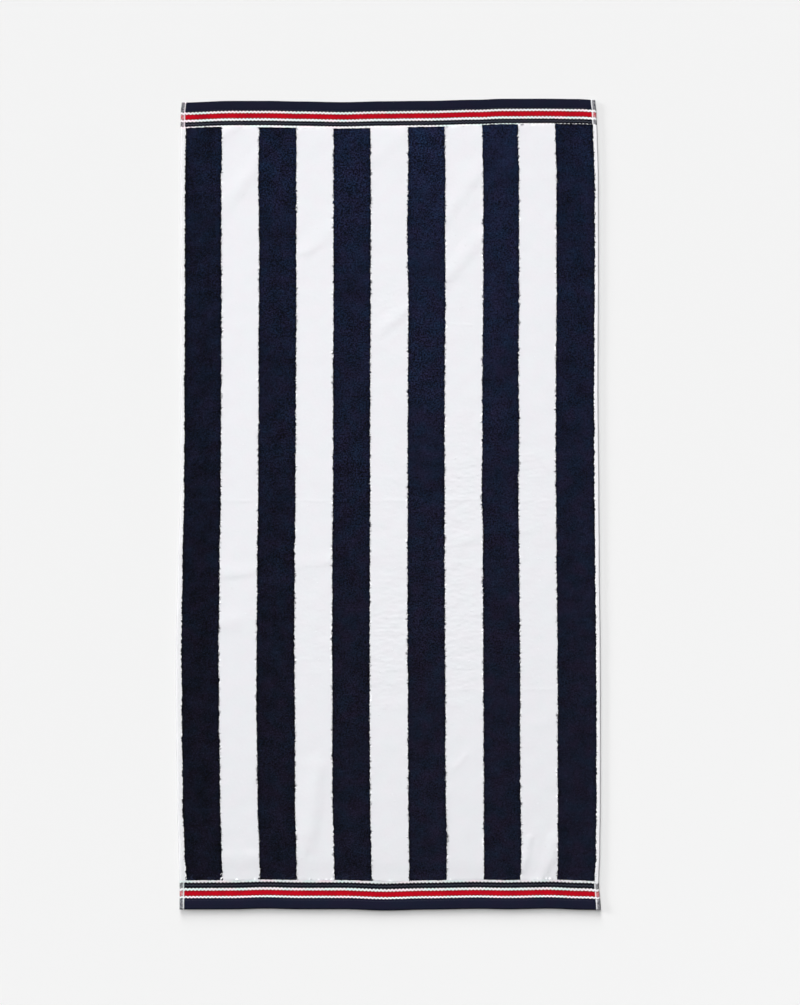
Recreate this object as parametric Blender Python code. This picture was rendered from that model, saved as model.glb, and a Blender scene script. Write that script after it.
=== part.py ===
"""Beach towel laid out flat.

One length of striped terry cloth, with its width along X and its length along Y. Each end has a
flat-woven border that carries no pile, and the last of that border is turned under as a hem. A
narrow hem runs down each long side. Borders and hems belong to the one woven cloth, so the towel is
one closed solid whose thickness changes from band to band.

Metres, +Z up. The towel rests on Z = 0 and its outline is centred on the origin.
"""

from math import hypot
from typing import NamedTuple

import bmesh
import bpy
from mathutils import Vector

# The cloth as it was woven and hemmed.
WIDTH = 0.900
LENGTH = 1.735

# Sizes of the solid's own form.
EDGE_ROUND = 0.0012
BAND_STEP = 0.0030
FIELD_COLUMNS = 33
FIELD_ROWS = 60
CREASE_SIDE_ROWS = 2

# The colour, roughness and metallic value of the cloth taken as a whole.
CLOTH_COLOUR = (0.030, 0.036, 0.062, 1.0)
CLOTH_ROUGHNESS = 0.95
CLOTH_METALLIC = 0.0


class Band(NamedTuple):
    """A band of the weave: how far in from the cloth's edge it starts, and how thick it is."""

    name: str
    start: float
    thickness: float


class SideRow(NamedTuple):
    """Where the two long edges lie, at one place along the towel."""

    y: float
    left: float
    right: float


class EndRow(NamedTuple):
    """Where the two hemmed ends lie, at one place across the towel."""

    x: float
    bottom: float
    top: float


class EdgeLift(NamedTuple):
    """A hemmed edge that stands clear of the surface: how high, and how far in that reaches."""

    name: str
    rise: float
    reach: float


class Crease(NamedTuple):
    """A long soft crease: its two ends, its half width, and how high its middle stands."""

    name: str
    x1: float
    y1: float
    x2: float
    y2: float
    half_width: float
    height: float


END_BANDS = (
    Band("end_hem", 0.0, 0.0030),
    Band("flat_border", 0.0232, 0.0016),
    Band("pile", 0.0598, 0.0034),
)
SIDE_BANDS = (
    Band("side_hem", 0.0, 0.0026),
    Band("pile", 0.0100, 0.0034),
)

SIDE_EDGES = (
    SideRow(y=-0.868, left=-0.4476, right=0.4563),
    SideRow(y=-0.810, left=-0.4481, right=0.4523),
    SideRow(y=-0.750, left=-0.4506, right=0.4545),
    SideRow(y=-0.640, left=-0.4536, right=0.4561),
    SideRow(y=-0.410, left=-0.4563, right=0.4562),
    SideRow(y=-0.320, left=-0.4563, right=0.4557),
    SideRow(y=-0.120, left=-0.4516, right=0.4537),
    SideRow(y=0.010, left=-0.4471, right=0.4527),
    SideRow(y=0.255, left=-0.4471, right=0.4508),
    SideRow(y=0.480, left=-0.4471, right=0.4519),
    SideRow(y=0.700, left=-0.4471, right=0.4517),
    SideRow(y=0.790, left=-0.4466, right=0.4493),
    SideRow(y=0.840, left=-0.4456, right=0.4471),
    SideRow(y=0.868, left=-0.4431, right=0.4446),
)
END_EDGES = (
    EndRow(x=-0.450, bottom=-0.8694, top=0.8635),
    EndRow(x=-0.340, bottom=-0.8692, top=0.8670),
    EndRow(x=-0.265, bottom=-0.8675, top=0.8671),
    EndRow(x=-0.190, bottom=-0.8690, top=0.8658),
    EndRow(x=-0.100, bottom=-0.8689, top=0.8643),
    EndRow(x=-0.010, bottom=-0.8717, top=0.8662),
    EndRow(x=0.080, bottom=-0.8697, top=0.8671),
    EndRow(x=0.190, bottom=-0.8680, top=0.8695),
    EndRow(x=0.250, bottom=-0.8691, top=0.8715),
    EndRow(x=0.340, bottom=-0.8676, top=0.8717),
    EndRow(x=0.415, bottom=-0.8701, top=0.8709),
    EndRow(x=0.455, bottom=-0.8709, top=0.8677),
)

# The stiff hems of the bottom end and the right side don't quite lie down.
BOTTOM_LIFT = EdgeLift("bottom_end", 0.0036, 0.040)
RIGHT_LIFT = EdgeLift("right_side", 0.0028, 0.032)

# Creases across the towel come from its folds on the shelf, and the slanted ones from its weight as
# it was laid down.
CROSS_CREASES = (
    Crease("half_fold", -0.440, 0.006, 0.445, 0.006, 0.010, 0.0004),
    Crease("upper_quarter_fold", 0.115, 0.388, 0.180, 0.386, 0.010, 0.0004),
    Crease("lower_quarter_fold", 0.030, -0.398, 0.445, -0.398, 0.010, 0.0004),
)
SLANTED_CREASES = (
    Crease("top_left_corner", -0.365, 0.783, -0.326, 0.817, 0.020, 0.0007),
    Crease("top_left_ridge", -0.371, 0.612, -0.270, 0.742, 0.026, 0.0007),
    Crease("upper_left_ridge", -0.175, 0.545, -0.118, 0.587, 0.026, 0.0006),
    Crease("top_middle_ridge", -0.034, 0.735, 0.038, 0.798, 0.022, 0.0007),
    Crease("top_right_ridge", 0.112, 0.600, 0.202, 0.725, 0.026, 0.0007),
    Crease("upper_right_ridge", 0.119, 0.480, 0.199, 0.568, 0.024, 0.0009),
    Crease("middle_ridge", -0.034, 0.366, 0.042, 0.428, 0.024, 0.0007),
    Crease("left_swell", -0.358, -0.153, -0.118, -0.123, 0.026, 0.0004),
    Crease("middle_swell", -0.118, -0.123, 0.355, -0.050, 0.026, 0.0003),
    Crease("left_edge_swell", -0.358, -0.252, -0.320, -0.247, 0.040, 0.0006),
    Crease("lower_left_ridge", -0.172, -0.730, -0.148, -0.563, 0.034, 0.0009),
    Crease("bottom_left_swell", -0.358, -0.756, -0.290, -0.755, 0.030, 0.0005),
    Crease("lower_middle_ridge", 0.123, -0.742, 0.127, -0.620, 0.022, 0.0005),
    Crease("bottom_right_fold", 0.290, -0.785, 0.304, -0.716, 0.020, 0.0006),
    Crease("bottom_right_ridge", 0.327, -0.810, 0.362, -0.722, 0.026, 0.0010),
)


def eased(part):
    """A share from 0 to 1, slowed at both ends."""
    part = min(max(part, 0.0), 1.0)
    return part * part * (3.0 - 2.0 * part)


def read_edge(rows, at, column):
    """The named column of an edge table at this place, eased between its rows."""
    if at <= rows[0][0]:
        return getattr(rows[0], column)
    for first, second in zip(rows, rows[1:]):
        if at <= second[0]:
            part = eased((at - first[0]) / (second[0] - first[0]))
            low, high = getattr(first, column), getattr(second, column)
            return low + (high - low) * part
    return getattr(rows[-1], column)


def band_thickness(bands, inset):
    """The cloth's thickness this far in from its edge, with a short slope at each change."""
    thickness = bands[0].thickness
    for outer, inner in zip(bands, bands[1:]):
        part = eased((inset - inner.start) / BAND_STEP + 0.5)
        thickness += (inner.thickness - outer.thickness) * part
    return thickness


def crease_lift(x, y):
    """How far the creases raise the cloth at this point."""
    lift = 0.0
    for crease in CROSS_CREASES + SLANTED_CREASES:
        run_x, run_y = crease.x2 - crease.x1, crease.y2 - crease.y1
        run = hypot(run_x, run_y)
        along = ((x - crease.x1) * run_x + (y - crease.y1) * run_y) / run
        nearest = min(max(along, 0.0), run) / run
        away = hypot(x - crease.x1 - run_x * nearest, y - crease.y1 - run_y * nearest)
        lift += crease.height * (1.0 - eased(away / crease.half_width))
    return lift


def edge_lift(u, v):
    """How far the raised hems hold the cloth clear of the surface at this point of it."""
    insets = ((BOTTOM_LIFT, v), (RIGHT_LIFT, WIDTH - u))
    return max(lift.rise * (1.0 - eased(inset / lift.reach)) for lift, inset in insets)


def lying_place(u, v):
    """Where a point of the cloth, u across it and v along it, lies on the surface."""
    nominal_x = u - WIDTH / 2
    bottom = read_edge(END_EDGES, nominal_x, "bottom")
    top = read_edge(END_EDGES, nominal_x, "top")
    y = bottom + (top - bottom) * v / LENGTH
    left = read_edge(SIDE_EDGES, y, "left")
    right = read_edge(SIDE_EDGES, y, "right")
    return left + (right - left) * u / WIDTH, y


def cloth_thickness(u, v):
    """The thickness at a point of the cloth: the side hems run on over the borders and end hems."""
    from_side, from_end = min(u, WIDTH - u), min(v, LENGTH - v)
    end = band_thickness(END_BANDS, from_end)
    hem = band_thickness(SIDE_BANDS, from_side)
    in_field = eased((from_side - SIDE_BANDS[1].start) / BAND_STEP + 0.5)
    return max(hem, end) + (end - max(hem, end)) * in_field


def under_point(u, v):
    """A point of the cloth's lower face."""
    x, y = lying_place(u, v)
    return Vector((x, y, crease_lift(x, y) + edge_lift(u, v)))


def cloth_point(u, v, share):
    """A point of the cloth, from its lower face at share 0 to its upper face at share 1."""
    return under_point(u, v) + Vector((0.0, 0.0, cloth_thickness(u, v) * share))


def stations(size, bands, field_steps, extra=()):
    """Places across or along the cloth: both sides of each band's slope, and the field's steps."""
    near = [EDGE_ROUND]
    for band in bands[1:]:
        near += [band.start - BAND_STEP / 2, band.start + BAND_STEP / 2]
    step = (size - 2 * near[-1]) / field_steps
    field = [near[-1] + step * i for i in range(1, field_steps)]
    kept = [v for v in field if all(abs(v - place) > step / 3 for place in extra)]
    return near + sorted(kept + list(extra)) + [size - place for place in reversed(near)]


def crease_stations():
    """Rows that follow each crease across the towel, from one side of it to the other."""
    rows = []
    for crease in CROSS_CREASES:
        middle = LENGTH / 2 + (crease.y1 + crease.y2) / 2
        step = crease.half_width / CREASE_SIDE_ROWS
        count = range(-CREASE_SIDE_ROWS, CREASE_SIDE_ROWS + 1)
        rows += [middle + step * side for side in count]
    return rows


def outline_keys(columns, rows):
    """The grid places around the cloth's edge, anticlockwise from the bottom left corner."""
    last_column, last_row = columns - 1, rows - 1
    bottom = [(i, 0) for i in range(last_column)]
    right = [(last_column, j) for j in range(last_row)]
    top = [(i, last_row) for i in range(last_column, 0, -1)]
    left = [(0, j) for j in range(last_row, 0, -1)]
    return bottom + right + top + left


def add_face_grid(mesh, across, along, upper):
    """The grid of one face of the cloth, as {(column, row): vertex}."""
    share = 1.0 if upper else 0.0
    grid = {
        (i, j): mesh.verts.new(cloth_point(u, v, share))
        for j, v in enumerate(along)
        for i, u in enumerate(across)
    }
    for i in range(len(across) - 1):
        for j in range(len(along) - 1):
            corners = [grid[i, j], grid[i + 1, j], grid[i + 1, j + 1], grid[i, j + 1]]
            mesh.faces.new(corners if upper else corners[::-1])
    return grid


def add_rim(mesh, across, along, upper, lower):
    """Closes the solid with a rounded rim that joins its upper and lower faces."""
    outer_u = {0: 0.0, len(across) - 1: WIDTH}
    outer_v = {0: 0.0, len(along) - 1: LENGTH}
    keys = outline_keys(len(across), len(along))
    rim = {}
    for i, j in keys:
        u, v = outer_u.get(i, across[i]), outer_v.get(j, along[j])
        rim[i, j] = mesh.verts.new(cloth_point(u, v, 0.5))
    for first, second in zip(keys, keys[1:] + keys[:1]):
        mesh.faces.new([lower[first], lower[second], rim[second], rim[first]])
        mesh.faces.new([rim[first], rim[second], upper[second], upper[first]])


def centre_outline(mesh):
    """Moves the towel so that the middle of its outline is over the origin."""
    xs = [vert.co.x for vert in mesh.verts]
    ys = [vert.co.y for vert in mesh.verts]
    middle = Vector(((min(xs) + max(xs)) / 2, (min(ys) + max(ys)) / 2, 0.0))
    bmesh.ops.translate(mesh, vec=-middle, verts=mesh.verts)


def towel_mesh():
    """The whole towel as one closed mesh."""
    across = stations(WIDTH, SIDE_BANDS, FIELD_COLUMNS)
    along = stations(LENGTH, END_BANDS, FIELD_ROWS, crease_stations())
    mesh = bmesh.new()
    upper = add_face_grid(mesh, across, along, upper=True)
    lower = add_face_grid(mesh, across, along, upper=False)
    add_rim(mesh, across, along, upper, lower)
    centre_outline(mesh)
    bmesh.ops.recalc_face_normals(mesh, faces=mesh.faces)
    data = bpy.data.meshes.new("towel")
    mesh.to_mesh(data)
    mesh.free()
    data.shade_smooth()
    return data


def cloth_material():
    """Cotton terry, matt all over."""
    material = bpy.data.materials.new("terry_cloth")
    material.use_nodes = True
    shader = material.node_tree.nodes["Principled BSDF"]
    shader.inputs["Base Color"].default_value = CLOTH_COLOUR
    shader.inputs["Roughness"].default_value = CLOTH_ROUGHNESS
    shader.inputs["Metallic"].default_value = CLOTH_METALLIC
    return material


def clear_scene():
    """Removes whatever the scene holds."""
    for item in list(bpy.data.objects):
        bpy.data.objects.remove(item)


clear_scene()
towel = bpy.data.objects.new("towel", towel_mesh())
towel.data.materials.append(cloth_material())
bpy.context.scene.collection.objects.link(towel)
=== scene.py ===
"""Looks of a striped beach towel, laid out flat.

The towel is one length of terry cloth. Its ground, its woven end borders and its turned hems are one
sheet. On that sheet stand the looped pile of each warp stripe and the sewing thread of the hems.

Sizes are in metres, with the towel's width along X and its length along Y. A place on the cloth is
given by u, across it from its left edge, and v, along it from its foot.
"""

import logging
from dataclasses import dataclass
from enum import Enum
from typing import Any, Mapping, Sequence

import bpy
import numpy as np
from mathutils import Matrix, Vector

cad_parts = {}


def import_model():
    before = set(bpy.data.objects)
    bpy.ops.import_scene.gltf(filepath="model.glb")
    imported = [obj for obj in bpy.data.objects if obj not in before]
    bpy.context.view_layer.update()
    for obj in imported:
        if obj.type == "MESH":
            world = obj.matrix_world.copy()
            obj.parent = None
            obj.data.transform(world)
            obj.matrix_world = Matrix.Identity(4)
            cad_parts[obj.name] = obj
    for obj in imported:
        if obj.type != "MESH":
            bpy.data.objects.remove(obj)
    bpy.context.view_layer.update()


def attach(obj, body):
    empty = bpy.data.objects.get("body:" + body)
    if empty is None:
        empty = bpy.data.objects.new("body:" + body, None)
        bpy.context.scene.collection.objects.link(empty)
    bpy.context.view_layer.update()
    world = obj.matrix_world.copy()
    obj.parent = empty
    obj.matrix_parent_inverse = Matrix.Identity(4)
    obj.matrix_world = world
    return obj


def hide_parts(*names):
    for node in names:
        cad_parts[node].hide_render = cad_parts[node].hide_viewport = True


Array = np.ndarray
Socket = bpy.types.NodeSocket

LOG = logging.getLogger("towel")
BODY = "root"
CAD_NODE = "towel"

CLOTH_WIDTH = 0.900
CLOTH_LENGTH = 1.735


class Dye(Enum):
    """The colours of the yarns, as linear red, green and blue."""

    NAVY = (0.0125, 0.0150, 0.0330)
    BORDER_NAVY = (0.0082, 0.0095, 0.0240)
    WHITE = (0.850, 0.850, 0.870)
    RED = (0.465, 0.0014, 0.0105)
    RIB_NAVY = (0.0026, 0.0028, 0.0070)
    WORN_NAVY = (0.0360, 0.0400, 0.0560)

    @property
    def rgba(self) -> tuple[float, float, float, float]:
        """The dye as a shader colour."""
        return (*self.value, 1.0)


class Slot(Enum):
    """The material slots that the record names."""

    CLOTH = "terry_cloth"
    NAVY_PILE = "navy_pile"
    WHITE_PILE = "white_pile"
    THREAD = "sewing_thread"


# ---------------------------------------------------------------------------------------------
# How the towel lies
# ---------------------------------------------------------------------------------------------


@dataclass(frozen=True)
class SideRow:
    """Where the two long edges lie at one place along the towel, and how much of each hem shows."""

    y: float
    left: float
    right: float
    left_hem: float
    right_hem: float


@dataclass(frozen=True)
class EndRow:
    """Where the two hemmed ends lie at one place across the towel."""

    x: float
    foot: float
    top: float


@dataclass(frozen=True)
class CreaseRow:
    """A soft crease from its lower or left end: its crest, and how far it spreads to each side."""

    name: str
    x1: float
    y1: float
    x2: float
    y2: float
    height: float
    left_reach: float
    right_reach: float


@dataclass(frozen=True)
class RippleRow:
    """An oval area of small cross ripples: its centre, half sizes and the ripples' height."""

    name: str
    x: float
    y: float
    half_x: float
    half_y: float
    height: float


@dataclass(frozen=True)
class EdgeLiftRow:
    """How far one stiff hem stands off the surface, and how far in from it the cloth settles."""

    edge: str
    rise: float
    reach: float


SIDE_ROWS = (
    SideRow(-0.868, -0.4476, 0.4563, 0.0128, 0.0085),
    SideRow(-0.810, -0.4481, 0.4523, 0.0142, 0.0075),
    SideRow(-0.750, -0.4506, 0.4545, 0.0135, 0.0080),
    SideRow(-0.640, -0.4536, 0.4561, 0.0120, 0.0088),
    SideRow(-0.410, -0.4563, 0.4562, 0.0132, 0.0087),
    SideRow(-0.320, -0.4563, 0.4557, 0.0124, 0.0087),
    SideRow(-0.120, -0.4516, 0.4537, 0.0103, 0.0092),
    SideRow(0.010, -0.4471, 0.4527, 0.0088, 0.0100),
    SideRow(0.255, -0.4471, 0.4508, 0.0102, 0.0088),
    SideRow(0.480, -0.4471, 0.4519, 0.0109, 0.0083),
    SideRow(0.700, -0.4471, 0.4517, 0.0108, 0.0081),
    SideRow(0.790, -0.4466, 0.4493, 0.0121, 0.0088),
    SideRow(0.840, -0.4456, 0.4471, 0.0112, 0.0092),
    SideRow(0.868, -0.4431, 0.4446, 0.0108, 0.0098),
)
END_ROWS = (
    EndRow(-0.450, -0.8694, 0.8635),
    EndRow(-0.340, -0.8692, 0.8670),
    EndRow(-0.265, -0.8675, 0.8671),
    EndRow(-0.190, -0.8690, 0.8658),
    EndRow(-0.100, -0.8689, 0.8643),
    EndRow(-0.010, -0.8717, 0.8662),
    EndRow(0.080, -0.8697, 0.8671),
    EndRow(0.190, -0.8680, 0.8695),
    EndRow(0.250, -0.8691, 0.8715),
    EndRow(0.340, -0.8676, 0.8717),
    EndRow(0.415, -0.8701, 0.8709),
    EndRow(0.455, -0.8709, 0.8677),
)
CREASE_ROWS = (
    CreaseRow("half_fold", -0.440, 0.0075, 0.445, 0.0075, 0.00016, 0.006, 0.0035),
    CreaseRow("lower_quarter_fold", 0.030, -0.398, 0.445, -0.398, 0.00014, 0.004, 0.006),
    CreaseRow("upper_quarter_fold", 0.115, 0.388, 0.180, 0.386, 0.00016, 0.005, 0.005),
    CreaseRow("top_left_corner", -0.365, 0.783, -0.326, 0.817, 0.00050, 0.012, 0.020),
    CreaseRow("top_left_ridge", -0.371, 0.612, -0.270, 0.742, 0.00050, 0.036, 0.024),
    CreaseRow("upper_left_ridge", -0.175, 0.545, -0.118, 0.587, 0.00048, 0.034, 0.020),
    CreaseRow("top_middle_ridge", -0.034, 0.735, 0.038, 0.798, 0.00036, 0.026, 0.020),
    CreaseRow("top_right_ridge", 0.112, 0.600, 0.202, 0.725, 0.00052, 0.034, 0.022),
    CreaseRow("upper_right_ridge", 0.119, 0.480, 0.199, 0.568, 0.00054, 0.034, 0.023),
    CreaseRow("middle_ridge", -0.024, 0.366, 0.052, 0.428, 0.00050, 0.030, 0.020),
    CreaseRow("left_swell", -0.358, -0.153, -0.118, -0.123, 0.00034, 0.030, 0.014),
    CreaseRow("middle_swell", -0.118, -0.123, 0.355, -0.050, 0.00020, 0.030, 0.014),
    CreaseRow("left_edge_swell", -0.358, -0.252, -0.320, -0.247, 0.00060, 0.030, 0.050),
    CreaseRow("lower_left_ridge", -0.172, -0.730, -0.148, -0.563, 0.00075, 0.040, 0.027),
    CreaseRow("bottom_left_swell", -0.358, -0.756, -0.290, -0.755, 0.00040, 0.020, 0.032),
    CreaseRow("lower_middle_ridge", 0.123, -0.742, 0.127, -0.620, 0.00050, 0.020, 0.012),
    CreaseRow("lower_middle_fold", 0.122, -0.587, 0.166, -0.540, 0.00022, 0.012, 0.012),
    CreaseRow("bottom_right_fold", 0.290, -0.785, 0.304, -0.716, 0.00055, 0.012, 0.014),
    CreaseRow("bottom_right_ridge", 0.327, -0.810, 0.362, -0.722, 0.00100, 0.026, 0.018),
)
RIPPLE_ROWS = (
    RippleRow("middle_ripples", 0.180, 0.030, 0.340, 0.290, 0.00013),
    RippleRow("lower_ripples", 0.060, -0.290, 0.420, 0.260, 0.00015),
    RippleRow("upper_ripples", 0.060, 0.420, 0.200, 0.200, 0.00008),
)
EDGE_LIFT_ROWS = (
    EdgeLiftRow("foot", 0.0036, 0.040),
    EdgeLiftRow("right", 0.0028, 0.032),
)


def eased(part: Array) -> Array:
    """A share kept from 0 to 1, and slowed at both ends."""
    part = np.clip(part, 0.0, 1.0)
    return part * part * (3.0 - 2.0 * part)


def read_rows(rows: Sequence[Any], key: str, column: str, at: Array) -> Array:
    """Reads one column of a short table at many places, eased from row to row.

    Args:
        rows: The table, in the order of its key.
        key: The field that holds each row's place.
        column: The field to read.
        at: The places to read it at.

    Returns:
        The column's value at each place.
    """
    places = np.array([getattr(row, key) for row in rows])
    values = np.array([getattr(row, column) for row in rows])
    at = np.clip(at, places[0], places[-1])
    first = np.clip(np.searchsorted(places, at, side="right") - 1, 0, len(rows) - 2)
    part = eased((at - places[first]) / (places[first + 1] - places[first]))
    return values[first] + (values[first + 1] - values[first]) * part


def soft_noise(first: Array, second: Array, size: float, seed: int) -> Array:
    """Smooth random values from -1 to 1, which change over about this size.

    Args:
        first: One coordinate of each point.
        second: The other coordinate.
        size: The distance over which the values change.
        seed: Picks the pattern.

    Returns:
        A value at each point.
    """
    cells = 256
    lattice = np.random.default_rng(seed).uniform(-1.0, 1.0, (cells, cells))
    a, b = np.broadcast_arrays(first / size, second / size)
    i, j = np.floor(a).astype(int), np.floor(b).astype(int)
    across, along = eased(a - i), eased(b - j)
    i, j = i % cells, j % cells
    i2, j2 = (i + 1) % cells, (j + 1) % cells
    low = lattice[i, j] + (lattice[i2, j] - lattice[i, j]) * across
    high = lattice[i, j2] + (lattice[i2, j2] - lattice[i, j2]) * across
    return low + (high - low) * along


@dataclass(frozen=True)
class TowelLie:
    """The shape in which the towel lies: its uneven outline, soft creases and raised hems.

    Attributes:
        pile_squeeze: How far a crease may press the pile in.
        crease_size: The distance over which a crease's strength changes.
        wander: How far a crease strays from its straight line.
        wander_size: The distance over which it strays.
    """

    pile_squeeze: float = 0.0008
    crease_size: float = 0.026
    wander: float = 0.0020
    wander_size: float = 0.030

    def place(self, u: Array, v: Array) -> tuple[Array, Array]:
        """Finds where points of the cloth lie.

        Args:
            u: Places across the cloth.
            v: Places along it.

        Returns:
            The points' x and y.
        """
        nominal = u - CLOTH_WIDTH / 2
        foot = read_rows(END_ROWS, "x", "foot", nominal)
        top = read_rows(END_ROWS, "x", "top", nominal)
        y = foot + (top - foot) * v / CLOTH_LENGTH
        left = read_rows(SIDE_ROWS, "y", "left", y)
        right = read_rows(SIDE_ROWS, "y", "right", y)
        return left + (right - left) * u / CLOTH_WIDTH, y

    def lift(self, u: Array, v: Array, x: Array, y: Array) -> Array:
        """Adds up how far the creases and the stiff hems raise the cloth.

        Args:
            u: Places across the cloth.
            v: Places along it.
            x: Where those places lie.
            y: Where those places lie.

        Returns:
            The rise at each place.
        """
        total = np.zeros(np.broadcast(x, y).shape)
        strength = np.clip(0.95 + 0.35 * soft_noise(x, y, self.crease_size, 81), 0.60, 1.30)
        x = x + self.wander * soft_noise(x, y, self.wander_size, 82)
        y = y + self.wander * soft_noise(x, y, self.wander_size, 83)
        for crease in CREASE_ROWS:
            run = np.array((crease.x2 - crease.x1, crease.y2 - crease.y1))
            length = float(np.hypot(*run))
            along = ((x - crease.x1) * run[0] + (y - crease.y1) * run[1]) / length
            part = np.clip(along, 0.0, length) / length
            away = np.hypot(x - crease.x1 - run[0] * part, y - crease.y1 - run[1] * part)
            on_left = run[0] * (y - crease.y1) - run[1] * (x - crease.x1) > 0
            reach = np.where(on_left, crease.left_reach, crease.right_reach)
            total = total + crease.height * (1.0 - eased(away / reach)) * strength
        inward = {"foot": v, "right": CLOTH_WIDTH - u}
        rise = np.zeros_like(total)
        for row in EDGE_LIFT_ROWS:
            rise = np.maximum(rise, row.rise * (1.0 - eased(inward[row.edge] / row.reach)))
        return total + rise

    def ripple(self, x: Array, y: Array) -> Array:
        """Finds how far small cross ripples raise or lower the pile.

        Args:
            x: Where points of the cloth lie.
            y: Where points of the cloth lie.

        Returns:
            The rise at each point; below zero, the fall.
        """
        waves = soft_noise(x, 3.3 * y, 0.014, 71) + 0.6 * soft_noise(x, 2.4 * y, 0.008, 72)
        total = np.zeros(np.broadcast(x, y).shape)
        for row in RIPPLE_ROWS:
            away = np.hypot((x - row.x) / row.half_x, (y - row.y) / row.half_y)
            total = total + row.height * (1.0 - eased(away))
        return total * waves

    def upper_point(self, u: Array, v: Array, height: Array) -> Array:
        """Places points of the upper face.

        Args:
            u: Places across the cloth.
            v: Places along it.
            height: How high each point stands above the underside.

        Returns:
            The points.
        """
        x, y = self.place(u, v)
        lift = np.maximum(self.lift(u, v, x, y), -self.pile_squeeze)
        return np.stack(np.broadcast_arrays(x, y, height + lift), axis=-1)

    def lower_point(self, u: Array, v: Array) -> Array:
        """Places points of the underside, which rests on the floor wherever nothing raises it.

        Args:
            u: Places across the cloth.
            v: Places along it.

        Returns:
            The points.
        """
        x, y = self.place(u, v)
        lift = np.maximum(self.lift(u, v, x, y), 0.0)
        return np.stack(np.broadcast_arrays(x, y, lift), axis=-1)


# ---------------------------------------------------------------------------------------------
# The weave's layout
# ---------------------------------------------------------------------------------------------


@dataclass(frozen=True)
class StripeRow:
    """A warp stripe of the pile: its name, dye, width, and how far it leans over the top border."""

    name: str
    dye: Dye
    width: float
    lean: float


@dataclass(frozen=True)
class PullRow:
    """A place where a stripe's edge is dragged sideways.

    Attributes:
        order: Which edge, from 0 for the first stripe's left one.
        y: The middle of the place.
        reach: How far it fades out each way.
        shift: How far the edge moves to the right.
    """

    order: int
    y: float
    reach: float
    shift: float


@dataclass(frozen=True)
class BandRow:
    """A weft band of the border: its name, dye, and width at the top and foot of the towel."""

    name: str
    dye: Dye
    at_top: float
    at_foot: float


STRIPES = (
    StripeRow("navy_stripe_1", Dye.NAVY, 0.0790, 0.0018),
    StripeRow("white_stripe_1", Dye.WHITE, 0.0805, 0.0005),
    StripeRow("navy_stripe_2", Dye.NAVY, 0.0805, 0.0000),
    StripeRow("white_stripe_2", Dye.WHITE, 0.0800, 0.0000),
    StripeRow("navy_stripe_3", Dye.NAVY, 0.0805, 0.0000),
    StripeRow("white_stripe_3", Dye.WHITE, 0.0805, 0.0005),
    StripeRow("navy_stripe_4", Dye.NAVY, 0.0800, 0.0010),
    StripeRow("white_stripe_4", Dye.WHITE, 0.0810, 0.0015),
    StripeRow("navy_stripe_5", Dye.NAVY, 0.0780, 0.0025),
    StripeRow("white_stripe_5", Dye.WHITE, 0.0800, 0.0030),
    StripeRow("navy_stripe_6", Dye.NAVY, 0.0825, 0.0035),
)
PULL_ROWS = (
    PullRow(1, -0.620, 0.220, 0.0016),
    PullRow(2, -0.440, 0.140, -0.0014),
    PullRow(2, 0.700, 0.140, -0.0018),
    PullRow(3, -0.460, 0.200, 0.0009),
    PullRow(6, 0.580, 0.160, -0.0022),
    PullRow(7, -0.720, 0.160, 0.0020),
    PullRow(8, 0.020, 0.090, -0.0020),
    PullRow(9, -0.740, 0.160, 0.0024),
    PullRow(9, 0.180, 0.150, 0.0016),
)
BORDER = (
    BandRow("end_hem", Dye.BORDER_NAVY, 0.0221, 0.0243),
    BandRow("outer_line", Dye.WHITE, 0.0044, 0.0036),
    BandRow("red_band", Dye.RED, 0.0118, 0.0122),
    BandRow("inner_line", Dye.WHITE, 0.0045, 0.0049),
    BandRow("navy_line_outer_rib", Dye.RIB_NAVY, 0.0039, 0.0048),
    BandRow("navy_line_middle", Dye.WORN_NAVY, 0.0023, 0.0024),
    BandRow("navy_line_inner_rib", Dye.RIB_NAVY, 0.0039, 0.0048),
    BandRow("pile_line", Dye.WHITE, 0.0045, 0.0052),
)


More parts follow.
